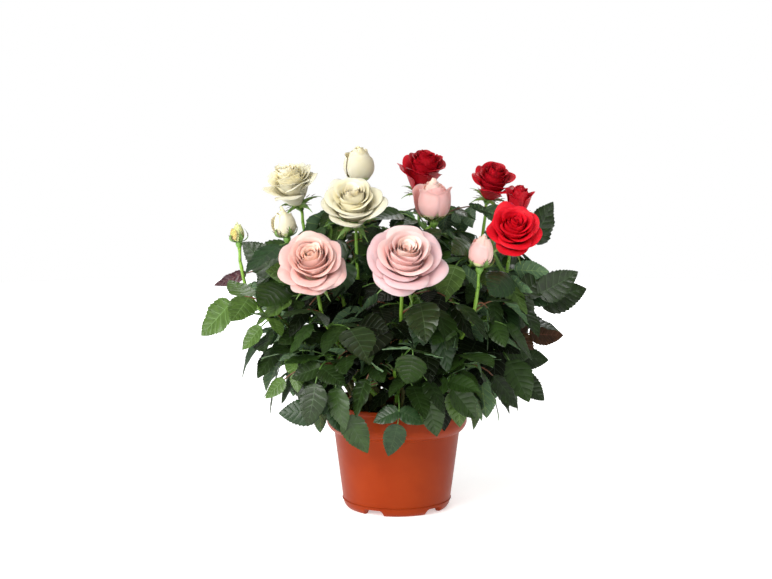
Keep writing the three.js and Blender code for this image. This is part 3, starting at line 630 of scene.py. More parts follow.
def tangents(points):
    ways = np.gradient(points, axis=0)
    return ways / np.linalg.norm(ways, axis=1)[:, None]


def frames_along(points):
    """The tangent and two square directions at each point of a line, turned as little as possible."""
    ways = tangents(np.asarray(points, float))
    side = np.cross(ways[0], (0.31, 0.95, 0.05))
    sides = []
    for way in ways:
        side = side - way * side.dot(way)
        side /= np.linalg.norm(side)
        sides.append(side)
    sides = np.array(sides)
    return ways, sides, np.cross(ways, sides)


def tube(sheaf, points, radii, sides, slot):
    """A closed tube. radii is one number a point, or one a point and corner for a relief."""
    points = np.asarray(points, float)
    _, first, second = frames_along(points)
    turn = 2 * np.pi * np.arange(sides) / sides
    radii = np.asarray(radii, float)
    radii = radii if radii.ndim == 2 else np.repeat(radii[:, None], sides, 1)
    out = np.cos(turn)[None, :, None] * first[:, None] + np.sin(turn)[None, :, None] * second[:, None]
    corners = (points[:, None] + out * radii[:, :, None]).reshape(-1, 3)
    quads = grid_loops(len(points), sides, wrap=True)
    caps = [np.arange(sides)[::-1], np.arange(sides) + (len(points) - 1) * sides]
    sizes = [4] * len(quads) + [sides, sides]
    sheaf.add(corners, sizes, np.concatenate([quads.ravel(), *caps]), slot)


def surface(sheaf, points, thick, slots):
    """A closed sheet from a grid of points: its front, and a back that meets it all round the edge.

    slots is the material of all its faces, or of each face of the front, which the back repeats.
    """
    rows, columns, _ = points.shape
    along, across = np.gradient(points, axis=0), np.gradient(points, axis=1)
    normal = np.cross(along, across)
    normal /= np.linalg.norm(normal, axis=2)[:, :, None] + 1e-9
    inside = np.zeros((rows, columns, 1))
    inside[1:-1, 1:-1] = 1
    back = points - normal * thick * inside
    quads = grid_loops(rows, columns)
    loops = np.concatenate([quads[:, ::-1].ravel(), quads.ravel() + rows * columns])
    corners = np.concatenate([points.reshape(-1, 3), back.reshape(-1, 3)])
    slots = np.tile(np.broadcast_to(slots, len(quads)), 2)
    sheaf.add(corners, np.full(2 * len(quads), 4), loops, slots)


# ---- Leaflets in detail ----
VEINS = 7
VEIN_SPAN = (0.07, 0.91)  # this and the next three are shares of a leaflet's length
VEIN_HALF = 0.0055
VEIN_DEPTH = 0.004
SWELLING = 0.008
VEIN_SLANT = 0.8  # how far the side veins run forward
TOOTH = 0.055  # share of half the width
LEAF_COLUMNS = (-0.62, -0.024, 0.024, 0.62)
LEAF_THICK = 0.35
RIB_THICK = 1.8  # against the rest of the leaflet
TOP, UNDER, RIB, UNDER_RIB = range(4)


def leaf_rows():
    """Each row's place along a leaflet, its relief, and whether the strip above it is a vein."""
    first, last = VEIN_SPAN
    step = (last - first) / (VEINS - 1)
    rows = []
    for k in range(VEINS):
        at = first + k * step
        rows += [(at - VEIN_HALF, 0, True), (at, -VEIN_DEPTH, True), (at + VEIN_HALF, 0, False)]
        rows.append((at + 0.45 * step, SWELLING, False))
    return [(0.02, 0, False), *rows]


OUTLINE = (0.5, 0.92)  # powers of the way from a leaflet's root and of the way from its tip
OUTLINE_PEAK = 0.352 ** OUTLINE[0] * 0.648 ** OUTLINE[1]  # the highest value of their product


class LeafletMesh:
    """The grid that every leaflet shares, with a toothed edge and rows that follow the side veins."""

    def __init__(self):
        self.points, self.sizes, self.loops, self.slots = [], [], [], []
        self.sheet(0, (TOP, RIB))
        self.sheet(1, (UNDER, UNDER_RIB))
        self.u, self.v, self.ridge, self.tooth, self.drop = (np.array(row) for row in zip(*self.points))

    def point(self, u, v, ridge=0.0, tooth=0.0, drop=0.0):
        """u runs along, v across. ridge lifts the point, and drop sinks it below the leaflet's top."""
        self.points.append((u + VEIN_SLANT * abs(v) * u * (1 - u), v, ridge, tooth, drop))
        return len(self.points) - 1

    def face(self, corners, slot, flip):
        self.sizes.append(len(corners))
        self.loops.extend(corners[::-1] if flip else corners)
        self.slots.append(slot)

    def sheet(self, under, slots):
        """One side of the leaflet: its top if under is 0, and its underside if it is 1."""
        root, tip = self.point(0, 0), self.point(1, 0)
        rows = []
        for u, relief, _ in leaf_rows():
            inner = []
            for v in LEAF_COLUMNS:
                on_rib = abs(v) < 0.1
                ridge = 0.25 * relief if on_rib else relief
                inner.append(self.point(u, v, ridge, 0, under * (RIB_THICK if on_rib else 1)))
            rows.append([self.point(u, -1, 0, -0.5), *inner, self.point(u, 1, 0, -0.5)])
        middle = len(LEAF_COLUMNS) // 2
        for (u, _, vein), (next_u, _, _), low, high in zip(leaf_rows(), leaf_rows()[1:], rows, rows[1:]):
            slot = slots[1] if vein else slots[0]
            if vein:
                self.face((low[0], high[0], high[1], low[1]), slot, under)
                self.face((low[-2], low[-1], high[-1], high[-2]), slot, under)
            else:
                self.teeth(low, high, mix(u, next_u, 0.7), slot, under)
            for k in range(1, len(low) - 2):
                here = slots[1] if k == middle else slot
                self.face((low[k], low[k + 1], high[k + 1], high[k]), here, under)
        for k in range(len(rows[0]) - 1):
            self.face((root, rows[0][k + 1], rows[0][k]), slots[0], under)
            self.face((tip, rows[-1][k], rows[-1][k + 1]), slots[0], under)

    def teeth(self, low, high, at, slot, under):
        """The two edges of a strip, each with one forward tooth."""
        left, right = (self.point(at, hand, 0, 1) for hand in (-1, 1))
        for corners in (
            (low[1], left, low[0]),
            (low[1], high[1], left),
            (high[1], high[0], left),
            (low[-2], low[-1], right),
            (low[-2], right, high[-2]),
            (high[-2], right, high[-1]),
        ):
            self.face(corners, slot, under)

    def place(self, sheaf, blade, random, first_slot, loose, slim):
        """Adds one leaflet, bent, twisted and waved by its own amounts."""
        size = blade["length"]
        root, way, side, normal = turned(blade, random, loose)
        arch = ARCH * mix(0.3, 2.0, random()) * loose
        fold = FOLD * mix(0.3, 1.6, random())
        twist = mix(-0.5, 0.5, random()) * loose
        wave = mix(0.006, 0.028, random()) * size
        bow = mix(-0.1, 0.1, random())
        curl = mix(0.0, 0.3, random())
        phase = random() * 2 * math.pi
        width = LEAFLET_WIDTH * mix(0.94, 1.14, random()) * slim
        u = np.clip(self.u, 0, 1)
        edge = np.abs(self.v)
        outline = u ** OUTLINE[0] * (1 - u) ** OUTLINE[1] / OUTLINE_PEAK
        half = 0.5 * width * size * outline
        out = self.v * half * (1 + TOOTH * self.tooth)
        along = u + 0.012 * self.tooth * (1 - u)
        ripple = np.sin(2.6 * 2 * np.pi * u + phase + (self.v > 0) * 2.1)
        lift = fold * np.abs(out) - curl * half * edge**3 - arch * size * u * u
        lift = lift + wave * ripple * edge**2 * np.sin(np.pi * u)
        lift = lift + size * self.ridge * np.minimum(outline * 1.6, 1) - LEAF_THICK * self.drop
        turn = twist * u
        sideways = out * np.cos(turn) - lift * np.sin(turn) + bow * size * u * u
        upward = out * np.sin(turn) + lift * np.cos(turn)
        points = root + np.outer(along * size, way) + np.outer(sideways, side) + np.outer(upward, normal)
        sheaf.add(points, self.sizes, self.loops, np.array(self.slots) + first_slot)


def turned(blade, random, loose):
    """A leaflet's root and axes, rolled and pitched a little by its own amounts."""
    root, way, side, normal = (np.array(blade[k]) for k in ("root", "way", "side", "normal"))
    high = clamp01((root[2] - 150) / 100)
    roll = mix(-0.45, 0.45, random()) * loose
    pitch = (mix(-0.3, 0.24, random()) - 0.4 * high) * loose
    side, normal = tilted(side, normal, roll)
    way, normal = tilted(way, normal, pitch)
    return root, way, side, normal


def tilted(one, other, angle):
    """Two square directions, turned in their own plane."""
    c, s = math.cos(angle), math.sin(angle)
    return one * c + other * s, other * c - one * s


def stalk(sheaf, leaf, slot):
    """A leaf's stalk, thicker at its foot."""
    shares = np.linspace(0, 1, 8)
    points = [bezier(leaf["curve"], t) for t in shares]
    radii = [0.75 + 0.6 * max(0, 1 - 8 * t) - 0.2 * t for t in shares]
    tube(sheaf, points, radii, 6, slot)


def stipules(sheaf, leaf, slot):
    """The two narrow wings along the foot of a leaf's stalk."""
    shares = np.linspace(0, 0.26, 6)
    points = np.array([bezier(leaf["curve"], t) for t in shares])
    _, first, _ = frames_along(points)
    for hand in (1, -1):
        width = np.array([0.3, 1.2, 1.6, 1.7, 1.8, 2.4])
        ends = points + hand * first * width[:, None]
        ends[-1] += points[-1] - points[-2]
        grid = np.stack([points, (points + ends) / 2 + (0, 0, 0.2), ends], 1)
        surface(sheaf, grid, 0.2, slot)


# ---- Canes in detail ----
CANE_SIDES = 10
CANE_FINE = 9  # points on each straight length of the solid's cane
WOODY = 14  # a cane is woody up to this one of them
BUDS = 9  # even swellings up a cane, like those at its buds
PRICKLE_STEP = 4
NO_PRICKLE = 0.35  # share of the places that stay bare


def smooth_line(line):
    """A Catmull-Rom curve through the joints of a cane."""
    points = [between(line[1], line[0], 2), *line, between(line[-2], line[-1], 2)]
    smooth = []
    for i in range(len(line) - 1):
        p0, p1, p2, p3 = (np.array(points[i + k]) for k in range(4))
        for step in range(CANE_FINE):
            t = step / CANE_FINE
            bend = 2 * p1 + (p2 - p0) * t + (2 * p0 - 5 * p1 + 4 * p2 - p3) * t * t
            smooth.append(0.5 * (bend + (3 * p1 - p0 - 3 * p2 + p3) * t**3))
    smooth.append(np.array(line[-1], float))
    return np.array(smooth)


def bark_radii(points, shares, seed):
    """Long low ridges, a rough bark, and a swelling at each bud."""
    turn = 2 * np.pi * np.arange(CANE_SIDES) / CANE_SIDES
    taper = [1.3 * CANE_FOOT, 1.08 * CANE_FOOT, CANE_FOOT, CANE_TIP]
    base = np.interp(shares, [0, 0.04, 0.16, 1], taper)
    buds = 0.16 * np.exp(-((((shares * BUDS + seed * 0.37) % 1) - 0.5) ** 2) / 0.006)
    ridges = 0.035 * np.sin(3 * turn[None, :] + 5 * shares[:, None] + seed)
    columns = range(CANE_SIDES)
    rough = [[noise.noise((p[0] * 0.5 + k, p[1] * 0.5, p[2] * 0.12)) for k in columns] for p in points]
    return (base * (1 + buds))[:, None] * (1 + ridges + 0.05 * np.array(rough))


def prickles(sheaf, points, shares, seed, slot):
    """Down-curved thorns up the cane."""
    random = random_from(seed * 13 + 5)
    ways, first, second = frames_along(points)
    for i in range(5, len(points) - 10, PRICKLE_STEP):
        if random() < NO_PRICKLE:
            continue
        angle = random() * 2 * math.pi
        out = first[i] * math.cos(angle) + second[i] * math.sin(angle)
        size = mix(2.2, 3.8, random())
        radius = mix(CANE_FOOT, CANE_TIP, shares[i])
        start = points[i] + out * radius * 0.5
        bend = [start + out * size * t - ways[i] * size * 0.45 * t * t for t in (0, 0.35, 0.7, 1)]
        tube(sheaf, bend, [1.0, 0.5, 0.22, 0.05], 5, slot)


def cane_mesh(sheaf, cane):
    """A cane with its prickles: slot 0 is green, 1 woody and 2 a thorn."""
    points = smooth_line(cane["line"])
    shares = np.linspace(0, 1, len(points))
    radii = bark_radii(points, shares, cane["seed"])
    tube(sheaf, points[: WOODY + 1], radii[: WOODY + 1], CANE_SIDES, 1)
    tube(sheaf, points[WOODY:], radii[WOODY:], CANE_SIDES, 0)
    prickles(sheaf, points, shares, cane["seed"], 2)


# ---- Blooms in detail ----
PETAL_ROWS = 13
PETAL_COLUMNS = 17
PETAL_THICK = 0.3
CURL_FROM = 0.7  # share of a petal's length where its rim begins to roll
PETAL_TURN = 2.39996  # from one petal to the next
HEART, OUTER = 0.3, 0.66  # shares of the petals where the tint changes
PALE_FROM = 0.6  # share of the petals from which they have a pale foot
PALE_ROWS = 3
SEPAL_SHARES = np.linspace(0, 1, 12)
THREADS = (4, 6)  # rows of a sepal that have a thread at each side


def bloom_axes(faces):
    z = unit(faces)
    x = unit(cross((0.0, 1.0, 0.05), z))
    return np.array([x, cross(z, x), z])


def in_bloom(points, bloom):
    """Points that stand on the bloom's hip, along its axes."""
    return points @ bloom_axes(bloom[2]) + np.array(hip_of(bloom))


def petal_profile(length, knots):
    """Radius and height along a petal's cup, as a cubic curve through four control points."""
    t = np.clip(length / CURL_FROM, 0, 1)[..., None]
    p = np.array(knots, float)
    cup = (1 - t) ** 3 * p[0] + 3 * (1 - t) ** 2 * t * p[1] + 3 * (1 - t) * t * t * p[2] + t**3 * p[3]
    return cup[..., 0], cup[..., 1]


def petal_grid(shape):
    """One petal: a patch of a cup round the bloom's axis, whose rim rolls back, most at its sides."""
    t, s = np.meshgrid(np.linspace(0, 1, PETAL_ROWS), np.linspace(-1, 1, PETAL_COLUMNS), indexing="ij")
    length = t * (1 - shape["round"] * np.abs(s) ** shape["blunt"] * t**0.5)
    radius, height = petal_profile(length, shape["knots"])
    (r2, z2), (r3, z3) = shape["knots"][2:]
    away = np.array([r3 - r2, z3 - z2]) / math.hypot(r3 - r2, z3 - z2)
    over = np.clip((length - CURL_FROM) / (1 - CURL_FROM), 0, 1)
    angle = shape["curl"] * (shape["lip"] + shape["point"] * np.abs(s) ** 1.6) * over + 1e-6
    run = shape["rim"] * over
    ahead, back = run * np.sin(angle) / angle, run * (1 - np.cos(angle)) / angle
    radius = radius + ahead * away[0] + back * away[1]
    height = height + ahead * away[1] - back * away[0]
    ruffle = shape["ruffle"] * np.sin(shape["waves"] * s * np.pi + shape["phase"]) * t**4
    radius = np.maximum(radius + shape["tuck"] * s * t + ruffle, 0.15)
    height = height + 0.6 * ruffle - shape["droop"] * s * s * t * t
    spread = shape["spread"] * (0.42 + 0.58 * np.sin(np.pi / 2 * np.clip(t / 0.6, 0, 1)))
    theta = shape["turn"] + s * spread
    lean = shape["lean"] * height
    x = radius * np.cos(theta) + lean * math.cos(shape["turn"])
    y = radius * np.sin(theta) + lean * math.sin(shape["turn"])
    return np.stack([x, y, HIP + height], -1)


def bud_knots(f, outer, tall):
    """The cup of petal f of a bud: at the heart it closes like an egg, and outside it ends lower."""
    short = f**1.5
    belly, rim = outer * mix(0.5, 1.02, f**0.8), outer * mix(0.08, 0.94, short)
    top = tall * mix(1.0, 0.66, short)
    return [(0.2 * outer, -0.5), (1.2 * belly, 0.03 * tall), (1.16 * belly, 0.7 * top), (rim, top)]


def rose_knots(f, outer, tall, rim_share):
    """The cup of petal f of an open rose: it stands up at the heart and flares at the outside."""
    flare = f * f * (3 - 2 * f)
    rim = outer * mix(0.05, 0.8, f**0.9)
    top = tall * mix(0.88 + 0.1 * math.sin(math.pi * clamp01(f / 0.6)), rim_share, f**1.8)
    low, high = rim * mix(1.35, 0.55, flare), rim * mix(1.3, 0.72, flare)
    foot = 0.7 * tall * (1 - f) ** 0.8
    return [(0.07 * outer + 0.4, foot - 0.5), (low, foot), (high, mix(foot, top, 0.62)), (rim, top)]


def petal_shape(i, count, bloom, random):
    """The size and the bend of petal i, from 0 at the heart to the last at the outside."""
    width, opened = bloom[3:5]
    f = i / (count - 1)
    outer, tall = width / 2, head_height(width, opened)
    unfolded = clamp01((opened - 0.2) / 0.35)
    grown = mix(0.93, 1.07, random())
    bud = bud_knots(f, outer, tall * grown)
    rose = rose_knots(f, outer, tall * grown, mix(0.8, 0.46, opened))
    knots = [(mix(a[0], b[0], unfolded), mix(a[1], b[1], unfolded)) for a, b in zip(bud, rose)]
    reach = mix(mix(104, 116, unfolded), mix(64, 50, unfolded), f**0.6)
    return {
        "knots": knots,
        "rim": mix(0.07, mix(0.17, 0.24, opened), f) * width,
        "curl": mix(mix(0.3, 1.0, unfolded), mix(1.0, 1.9, opened), f) * mix(0.75, 1.25, random()),
        "lip": mix(0.9, 0.55, f),
        "point": mix(0.5, 1.5, f) * mix(0.5, 1.2, random()),
        "round": mix(0.12, 0.26, f),
        "blunt": mix(2.3, 1.8, f * unfolded),
        "spread": math.radians(reach * mix(0.92, 1.1, random())),
        "turn": i * PETAL_TURN + mix(-0.3, 0.3, random()),
        "tuck": mix(0.3, 1.1, f) * mix(1.2, 1, unfolded),
        "ruffle": mix(0.2, mix(0.5, 1.5, unfolded), f) * mix(0.5, 1.2, random()),
        "waves": mix(0.8, 2.1, random()),
        "phase": random() * 2 * math.pi,
        "droop": mix(0, mix(0.1, 6.0, unfolded), f * f) * random(),
        "lean": mix(-0.06, 0.14, random()) * f * unfolded,
    }


def petal_count(width, opened):
    return round(mix(10, 29, clamp01((opened - 0.1) * 1.4)) * clamp01(width / 60 + 0.3))


def fitted(grids, width):
    """The petals, widened or narrowed so that the bloom has its width."""
    reaches = sorted(np.hypot(grid[..., 0], grid[..., 1]).max() for grid in grids)
    outermost = reaches[-max(3, len(reaches) // 4) :]
    wide = 0.5 * width / np.mean(outermost)
    return [grid * (wide, wide, 1) for grid in grids]


def bloom_petals(sheaf, name, bloom, first_slot):
    """Petals from the heart outwards in three tints. The outer ones have a paler foot."""
    random = random_of(name)
    count = petal_count(bloom[3], bloom[4])
    grids = [petal_grid(petal_shape(i, count, bloom, random)) for i in range(count)]
    row = np.repeat(np.arange(PETAL_ROWS - 1), PETAL_COLUMNS - 1)
    for i, grid in enumerate(fitted(grids, bloom[3])):
        blade = first_slot + 1 + (i > HEART * count) + (i > OUTER * count)
        pale = PALE_ROWS if i > PALE_FROM * count else 0
        surface(sheaf, in_bloom(grid, bloom), PETAL_THICK, np.where(row < pale, first_slot, blade))


def hip_mesh(sheaf, bloom, slot):
    """The round swelling under the petals, narrower at both ends."""
    radius = 0.05 * bloom[3] + 2.4
    heights = np.array([-0.6, 0.4, 1.6, 3.0, 4.4, 5.6, 6.6, 7.2])
    shares = np.array([0.52, 0.6, 0.8, 0.97, 1.0, 0.86, 0.68, 0.5])
    points = in_bloom(np.stack([0 * heights, 0 * heights, heights], -1), bloom)
    tube(sheaf, points, shares * radius, 16, slot)


def sepal(sheaf, faces, centre, side, length, width, slots):
    """A tapering green blade along a bent line, ending in a thread, with threads at its sides."""
    half = width * np.interp(SEPAL_SHARES, [0, 0.25, 0.5, 0.75, 1], [0.75, 1, 0.62, 0.16, 0.05])
    across = np.array([-1, -0.5, 0, 0.5, 1])
    ways = tangents(centre)
    normal = np.cross(side, ways)
    grid = centre[:, None] + across[None, :, None] * half[:, None, None] * side
    grid = grid + normal[:, None] * (0.35 * across[None, :, None] ** 2 * half[:, None, None])
    surface(sheaf, grid, 0.35, slots[0])
    for k in THREADS:
        for hand in (1, -1):
            root = centre[k] + hand * side * half[k] * 0.8
            tip = root + hand * side * length * 0.12 + ways[k] * length * 0.2
            tube(sheaf, [root, (root + tip) / 2 + faces * 0.02, tip], [0.35, 0.28, 0.12], 4, slots[1])


def sepal_line(bend, bulge, length, fall, turn):
    """The middle of a sepal, from the top of the hip: up round a bud, or out and down under a rose."""
    t = SEPAL_SHARES
    angle = bend * t**0.8
    reach = 2.4 + length * np.sin(angle) * t + bulge * np.sin(np.pi * t**0.7) * (1 - fall)
    rise = HIP - 0.6 + length * np.cos(angle) * t * mix(1, 0.4, fall)
    return np.stack(around(reach, turn, rise), -1)


def bloom_sepals(sheaf, name, bloom, slots):
    """Five sepals that stand up round a bud and turn down under an open rose."""
    faces, width, opened = bloom[2:5]
    random = random_of(name, 7)
    length = 0.24 * width + 9
    fall = clamp01(opened * 1.5)
    for k in range(5):
        turn = 2 * math.pi * (k + 0.15 * random()) / 5
        bend = mix(0.12, 1.75, fall) + mix(-0.18, 0.25, random())
        bulge = mix(0.5 * width * 0.86, 3.0, fall)
        centre = in_bloom(sepal_line(bend, bulge, length, fall, turn), bloom)
        side = np.array([-math.sin(turn), math.cos(turn), 0]) @ bloom_axes(faces)
        sepal(sheaf, np.array(faces), centre, side, length, 0.052 * width + 1.5, slots)


def pedicel(sheaf, bloom, slot):
    """The stalk from the cane's tip to the hip."""
    foot, way = pedicel_foot(bloom)
    hip, faces = hip_of(bloom), unit(bloom[2])
    curve = (foot, add(foot, way, 5), add(hip, faces, -5), hip)
    points = [bezier(curve, t) for t in np.linspace(-0.04, 1, 8)]
    tube(sheaf, points, [CANE_TIP, 1.5, 1.45, 1.4, 1.4, 1.45, 1.6, 1.9], CANE_SIDES, slot)


# ---- Pot and soil in detail ----
POT_SIDES = 144
NOTCHES = 5
NOTCH_HALF = 8
NOTCH_SLANT = 1.5
NOTCH_TOP = 5.2
NOTCH_TURN = math.radians(-117)
FOOT_INNER = 41
FOOT_MIDDLE = 44.5
# The pot's section as radius and height, from the middle of its underside over the rim to the inside.
UNDERSIDE = [(0.01, 4), (38, 4), (40.6, 4), (41, 3.8), (41.4, 0.5), (41.9, 0)]
FOOT = [(45, 0), (45.9, 0.4), (47.2, 2), (48, 3.2), (48.8, 5.4), (49.1, 7.2), (49.12, 7.3)]
RAISED_RING = [(49.85, 7.5), (49.9, 7.95), (49.2, 8.1), (49.22, 8.3)]
WALL = [(49.4, 9.5), (53.2, 39), (57, 68.6), (57.15, 69.9), (57.3, 70.2), (57.8, 70.4)]
RIM_STEP = [(59.5, 71.2), (61.3, 72.9), (62.6, 74.9), (63.6, 77), (63.95, 78.6), (64, 80)]
RIM = [
    (64.18, 91), (64.25, 92.3), (64.45, 93), (64.85, 93.4), (65, 94), (65, 96), (64.85, 96.6),
    (64.4, 97), (63.3, 97), (62.85, 96.7), (62.7, 96), (62.6, 94),
]
INSIDE = [
    (61.9, 80), (61.7, 78.4), (60.4, 74.6), (57.4, 72.2), (55.9, 71), (55.3, 69.4), (55.1, 67),
    (47.3, 9), (46.9, 7.2), (45.8, 6), (44, 5.8), (0.01, 5.8),
]
POT_PROFILE = UNDERSIDE + FOOT + RAISED_RING + WALL + RIM_STEP + RIM + INSIDE
SOIL_SIDES = 120
SOIL_RINGS = 40
SOIL_RADIUS = 61.6
SOIL_UNDER = [(61.3, 80), (54.6, 70), (46.3, 6.3), (0.3, 6.3)]  # inside the pot's wall
CRUMBS = 420


def notch_depth(angle):
    """How far a point of the foot ring is lifted into a drainage notch, from 0 to 1."""
    step = 2 * math.pi / NOTCHES
    off = (angle - NOTCH_TURN + step / 2) % step - step / 2
    beside = abs(off) * FOOT_MIDDLE
    return clamp01((NOTCH_HALF + NOTCH_SLANT - beside) / (2 * NOTCH_SLANT))


def pot_angles():
    """Even columns, and some more where the sides of the notches are."""
    angles = set(2 * math.pi * k / POT_SIDES for k in range(POT_SIDES))
    for k in range(NOTCHES):
        middle = NOTCH_TURN + 2 * math.pi * k / NOTCHES
        for beside in (NOTCH_HALF - NOTCH_SLANT, NOTCH_HALF + NOTCH_SLANT):
            for hand in (1, -1):
                angles.add((middle + hand * beside / FOOT_MIDDLE) % (2 * math.pi))
    return sorted(angles)


def pot_mesh(sheaf):
    """The whole pot in one skin. The foot ring is lifted to NOTCH_TOP where a notch is."""
    angles = pot_angles()
    points = []
    for radius, z in POT_PROFILE:
        in_foot = FOOT_INNER - 1 < radius and z < NOTCH_TOP
        for angle in angles:
            lift = (NOTCH_TOP - z) * notch_depth(angle) if in_foot else 0
            points.append(around(radius, angle, z + lift))
    sheaf.add_round(points, len(angles), 0)


def soil_height(x, y):
    """Level but rough, and lower towards the wall."""
    out = math.hypot(x, y)
    fall = 3 * clamp01((out - 53) / 8.4)
    rough = noise.noise((x * 0.12, y * 0.12, 3)) * 1.4 + noise.noise((x * 0.45, y * 0.45, 9)) * 0.9
    return SOIL_TOP - 0.9 - fall + rough * clamp01((61.8 - out) / 3)


def soil_mesh(sheaf):
    """The rough top, and a smooth side and underside that the pot hides."""
    turns = [2 * math.pi * k / SOIL_SIDES for k in range(SOIL_SIDES)]
    radii = [0.3] + [SOIL_RADIUS * i / SOIL_RINGS for i in range(1, SOIL_RINGS + 1)]
    points = []
    for radius in radii:
        for turn in turns:
            x, y, _ = around(radius, turn, 0)
            points.append((x, y, soil_height(x, y)))
    points += [around(radius, turn, z) for radius, z in SOIL_UNDER for turn in turns]
    sheaf.add_round(points, SOIL_SIDES, 0, flip=True)


def crumb(sheaf, at, size, random, slot):
    """A small uneven lump."""
    rows, columns = 5, 7
    points = []
    for i in range(rows):
        for k in range(columns):
            tilt, turn = math.pi * i / (rows - 1), 2 * math.pi * k / columns
            radius = size * mix(0.7, 1.2, random())
            flat = max(math.sin(tilt), 0.03) * radius
            points.append(add(at, around(flat, turn, 0.7 * math.cos(tilt) * radius)))
    sheaf.add_round(points, columns, slot, flip=True)


def crumbs(sheaf):
    """Loose lumps of peat, four in five of them dark."""
    random = random_from(77)
    for _ in range(CRUMBS):
        x, y, _ = around(58 * math.sqrt(random()), 2 * math.pi * random(), 0)
        size = mix(0.6, 2.3, random() ** 2)
        crumb(sheaf, (x, y, soil_height(x, y)), size, random, 1 if random() < 0.8 else 2)


# ---- Materials ----
def linear(code):
    """A linear colour with alpha from a hexadecimal sRGB code."""
    values = [int(code[i : i + 2], 16) / 255 for i in (1, 3, 5)]
    return (*(c / 12.92 if c <= 0.04045 else ((c + 0.055) / 1.055) ** 2.4 for c in values), 1)


def node(tree, kind, **inputs):
    made = tree.nodes.new("ShaderNode" + kind)
    for name, value in inputs.items():
        made.inputs[name.replace("_", " ")].default_value = value
    return made


def mottled(name, dark, light, grain, roughness, relief, **sockets):
    """Two tones mottled by noise of this grain, with uneven roughness and a fine relief.

    relief is the bump's strength and its depth in millimetres. sockets are set on the shader itself.
    """
    material = bpy.data.materials.new(name)
    material.use_nodes = True
    tree = material.node_tree
    shader = tree.nodes["Principled BSDF"]
    link = tree.links.new
    place = tree.nodes.new("ShaderNodeTexCoord").outputs["Object"]
    cloud = node(tree, "TexNoise", Scale=grain, Detail=6, Roughness=0.6)
    fine = node(tree, "TexNoise", Scale=grain * 7, Detail=4, Roughness=0.55)
    link(place, cloud.inputs["Vector"])
    link(place, fine.inputs["Vector"])
    ramp = tree.nodes.new("ShaderNodeValToRGB")
    for stop, at, colour in zip(ramp.color_ramp.elements, (0.32, 0.68), (dark, light)):
        stop.position = at
        stop.color = linear(colour)
    link(cloud.outputs["Fac"], ramp.inputs["Fac"])
    link(ramp.outputs["Color"], shader.inputs["Base Color"])
    uneven = node(tree, "MapRange", From_Min=0.3, From_Max=0.7, To_Min=roughness[0], To_Max=roughness[1])
    link(fine.outputs["Fac"], uneven.inputs["Value"])
    link(uneven.outputs["Result"], shader.inputs["Roughness"])
    bump = node(tree, "Bump", Strength=relief[0], Distance=relief[1] * MM)
    link(fine.outputs["Fac"], bump.inputs["Height"])
    link(bump.outputs["Normal"], shader.inputs["Normal"])
    for socket, value in sockets.items():
        shader.inputs[socket.replace("_", " ")].default_value = value
    return material


LEAF_GRAIN = 160
RIB_GRAIN = 200
LEAF_TONES = {
    # the darkest tones are painted shade, for the leaves inside the crown
    "deep": ("#080d04", "#0f1607"),
    "dark": ("#152208", "#21340f"),
    "mid": ("#20330e", "#2e4619"),
    "blue": ("#1b2f15", "#274021"),
    "light": ("#3a521e", "#4d682a"),
    "olive": ("#2e3314", "#42421c"),
    "bronze": ("#35200f", "#4c3018"),
    "burgundy": ("#2c151c", "#452027"),
}
PLAIN_UNDER = ("#4b6a4a", "#63825c")
BURGUNDY_UNDER = ("#5e3038", "#704048")
UNDER_RIB_TONES = ("#7d9a5c", "#93ac6e")
PLAIN_RIB = ("#263a19", "#334b23")
RIB_TONES = {
    # the darkest rib tones, painted shade for the leaves inside the crown
    "deep": ("#141f0b", "#1d2b11"),
    "light": ("#56743a", "#688848"),
    "olive": ("#4c3a22", "#5e4a2c"),
    "bronze": ("#5a3424", "#6c4230"),
    "burgundy": ("#5c3430", "#704640"),
}
# A dark and a light tone for the pale foot, and for the heart, middle and outer petals.
# The white and pink hearts are their own cream and peach, painted lighter to make up for the shade
# between their close petals.
PETAL_TONES = {
    "ivory": (
        ("#d3daa0", "#dde2b4"), ("#fdf1ce", "#fef6de"), ("#e9e0bc", "#ece6cc"), ("#dad4b8", "#dfdbc6"),
    ),
    "cream": (
        ("#bccb80", "#d2d8a2"), ("#f8eab8", "#f9efcb"), ("#e5d9b3", "#e9e1c5"), ("#dcd4b4", "#e0d9c4"),
    ),
    "green_ivory": (
        ("#9dbb5c", "#b4c97a"), ("#d9dfa0", "#e6e8b8"), ("#c9cf86", "#dadca0"), ("#a9b45e", "#c48f6a"),
    ),
    "salmon": (
        ("#f0dcb2", "#f3dcbc"), ("#fdd0be", "#fedacb"), ("#ebbbb0", "#edc6bc"), ("#dcaaa4", "#dfb7b1"),
    ),
    "blush": (
        ("#f0e4bc", "#f3dfc8"), ("#fdd3c7", "#feded3"), ("#eac0bc", "#edccc7"), ("#dcb4b6", "#dfc0c2"),
    ),
    "rose": (
        ("#dfe0a4", "#ecd8b0"), ("#fcc9b8", "#fdd3c6"), ("#f0c1b5", "#f1cac1"), ("#e5aea8", "#e8b8b5"),
    ),
    "crimson": (
        ("#7d0a14", "#93101e"), ("#9c0818", "#b20b1e"), ("#a6081a", "#bc0b20"), ("#ac091a", "#c20d22"),
    ),
    "scarlet": (
        ("#8d0c16", "#a31220"), ("#cc0a1e", "#dc0f26"), ("#d00c20", "#e01228"), ("#d40e22", "#e4162a"),
    ),
}


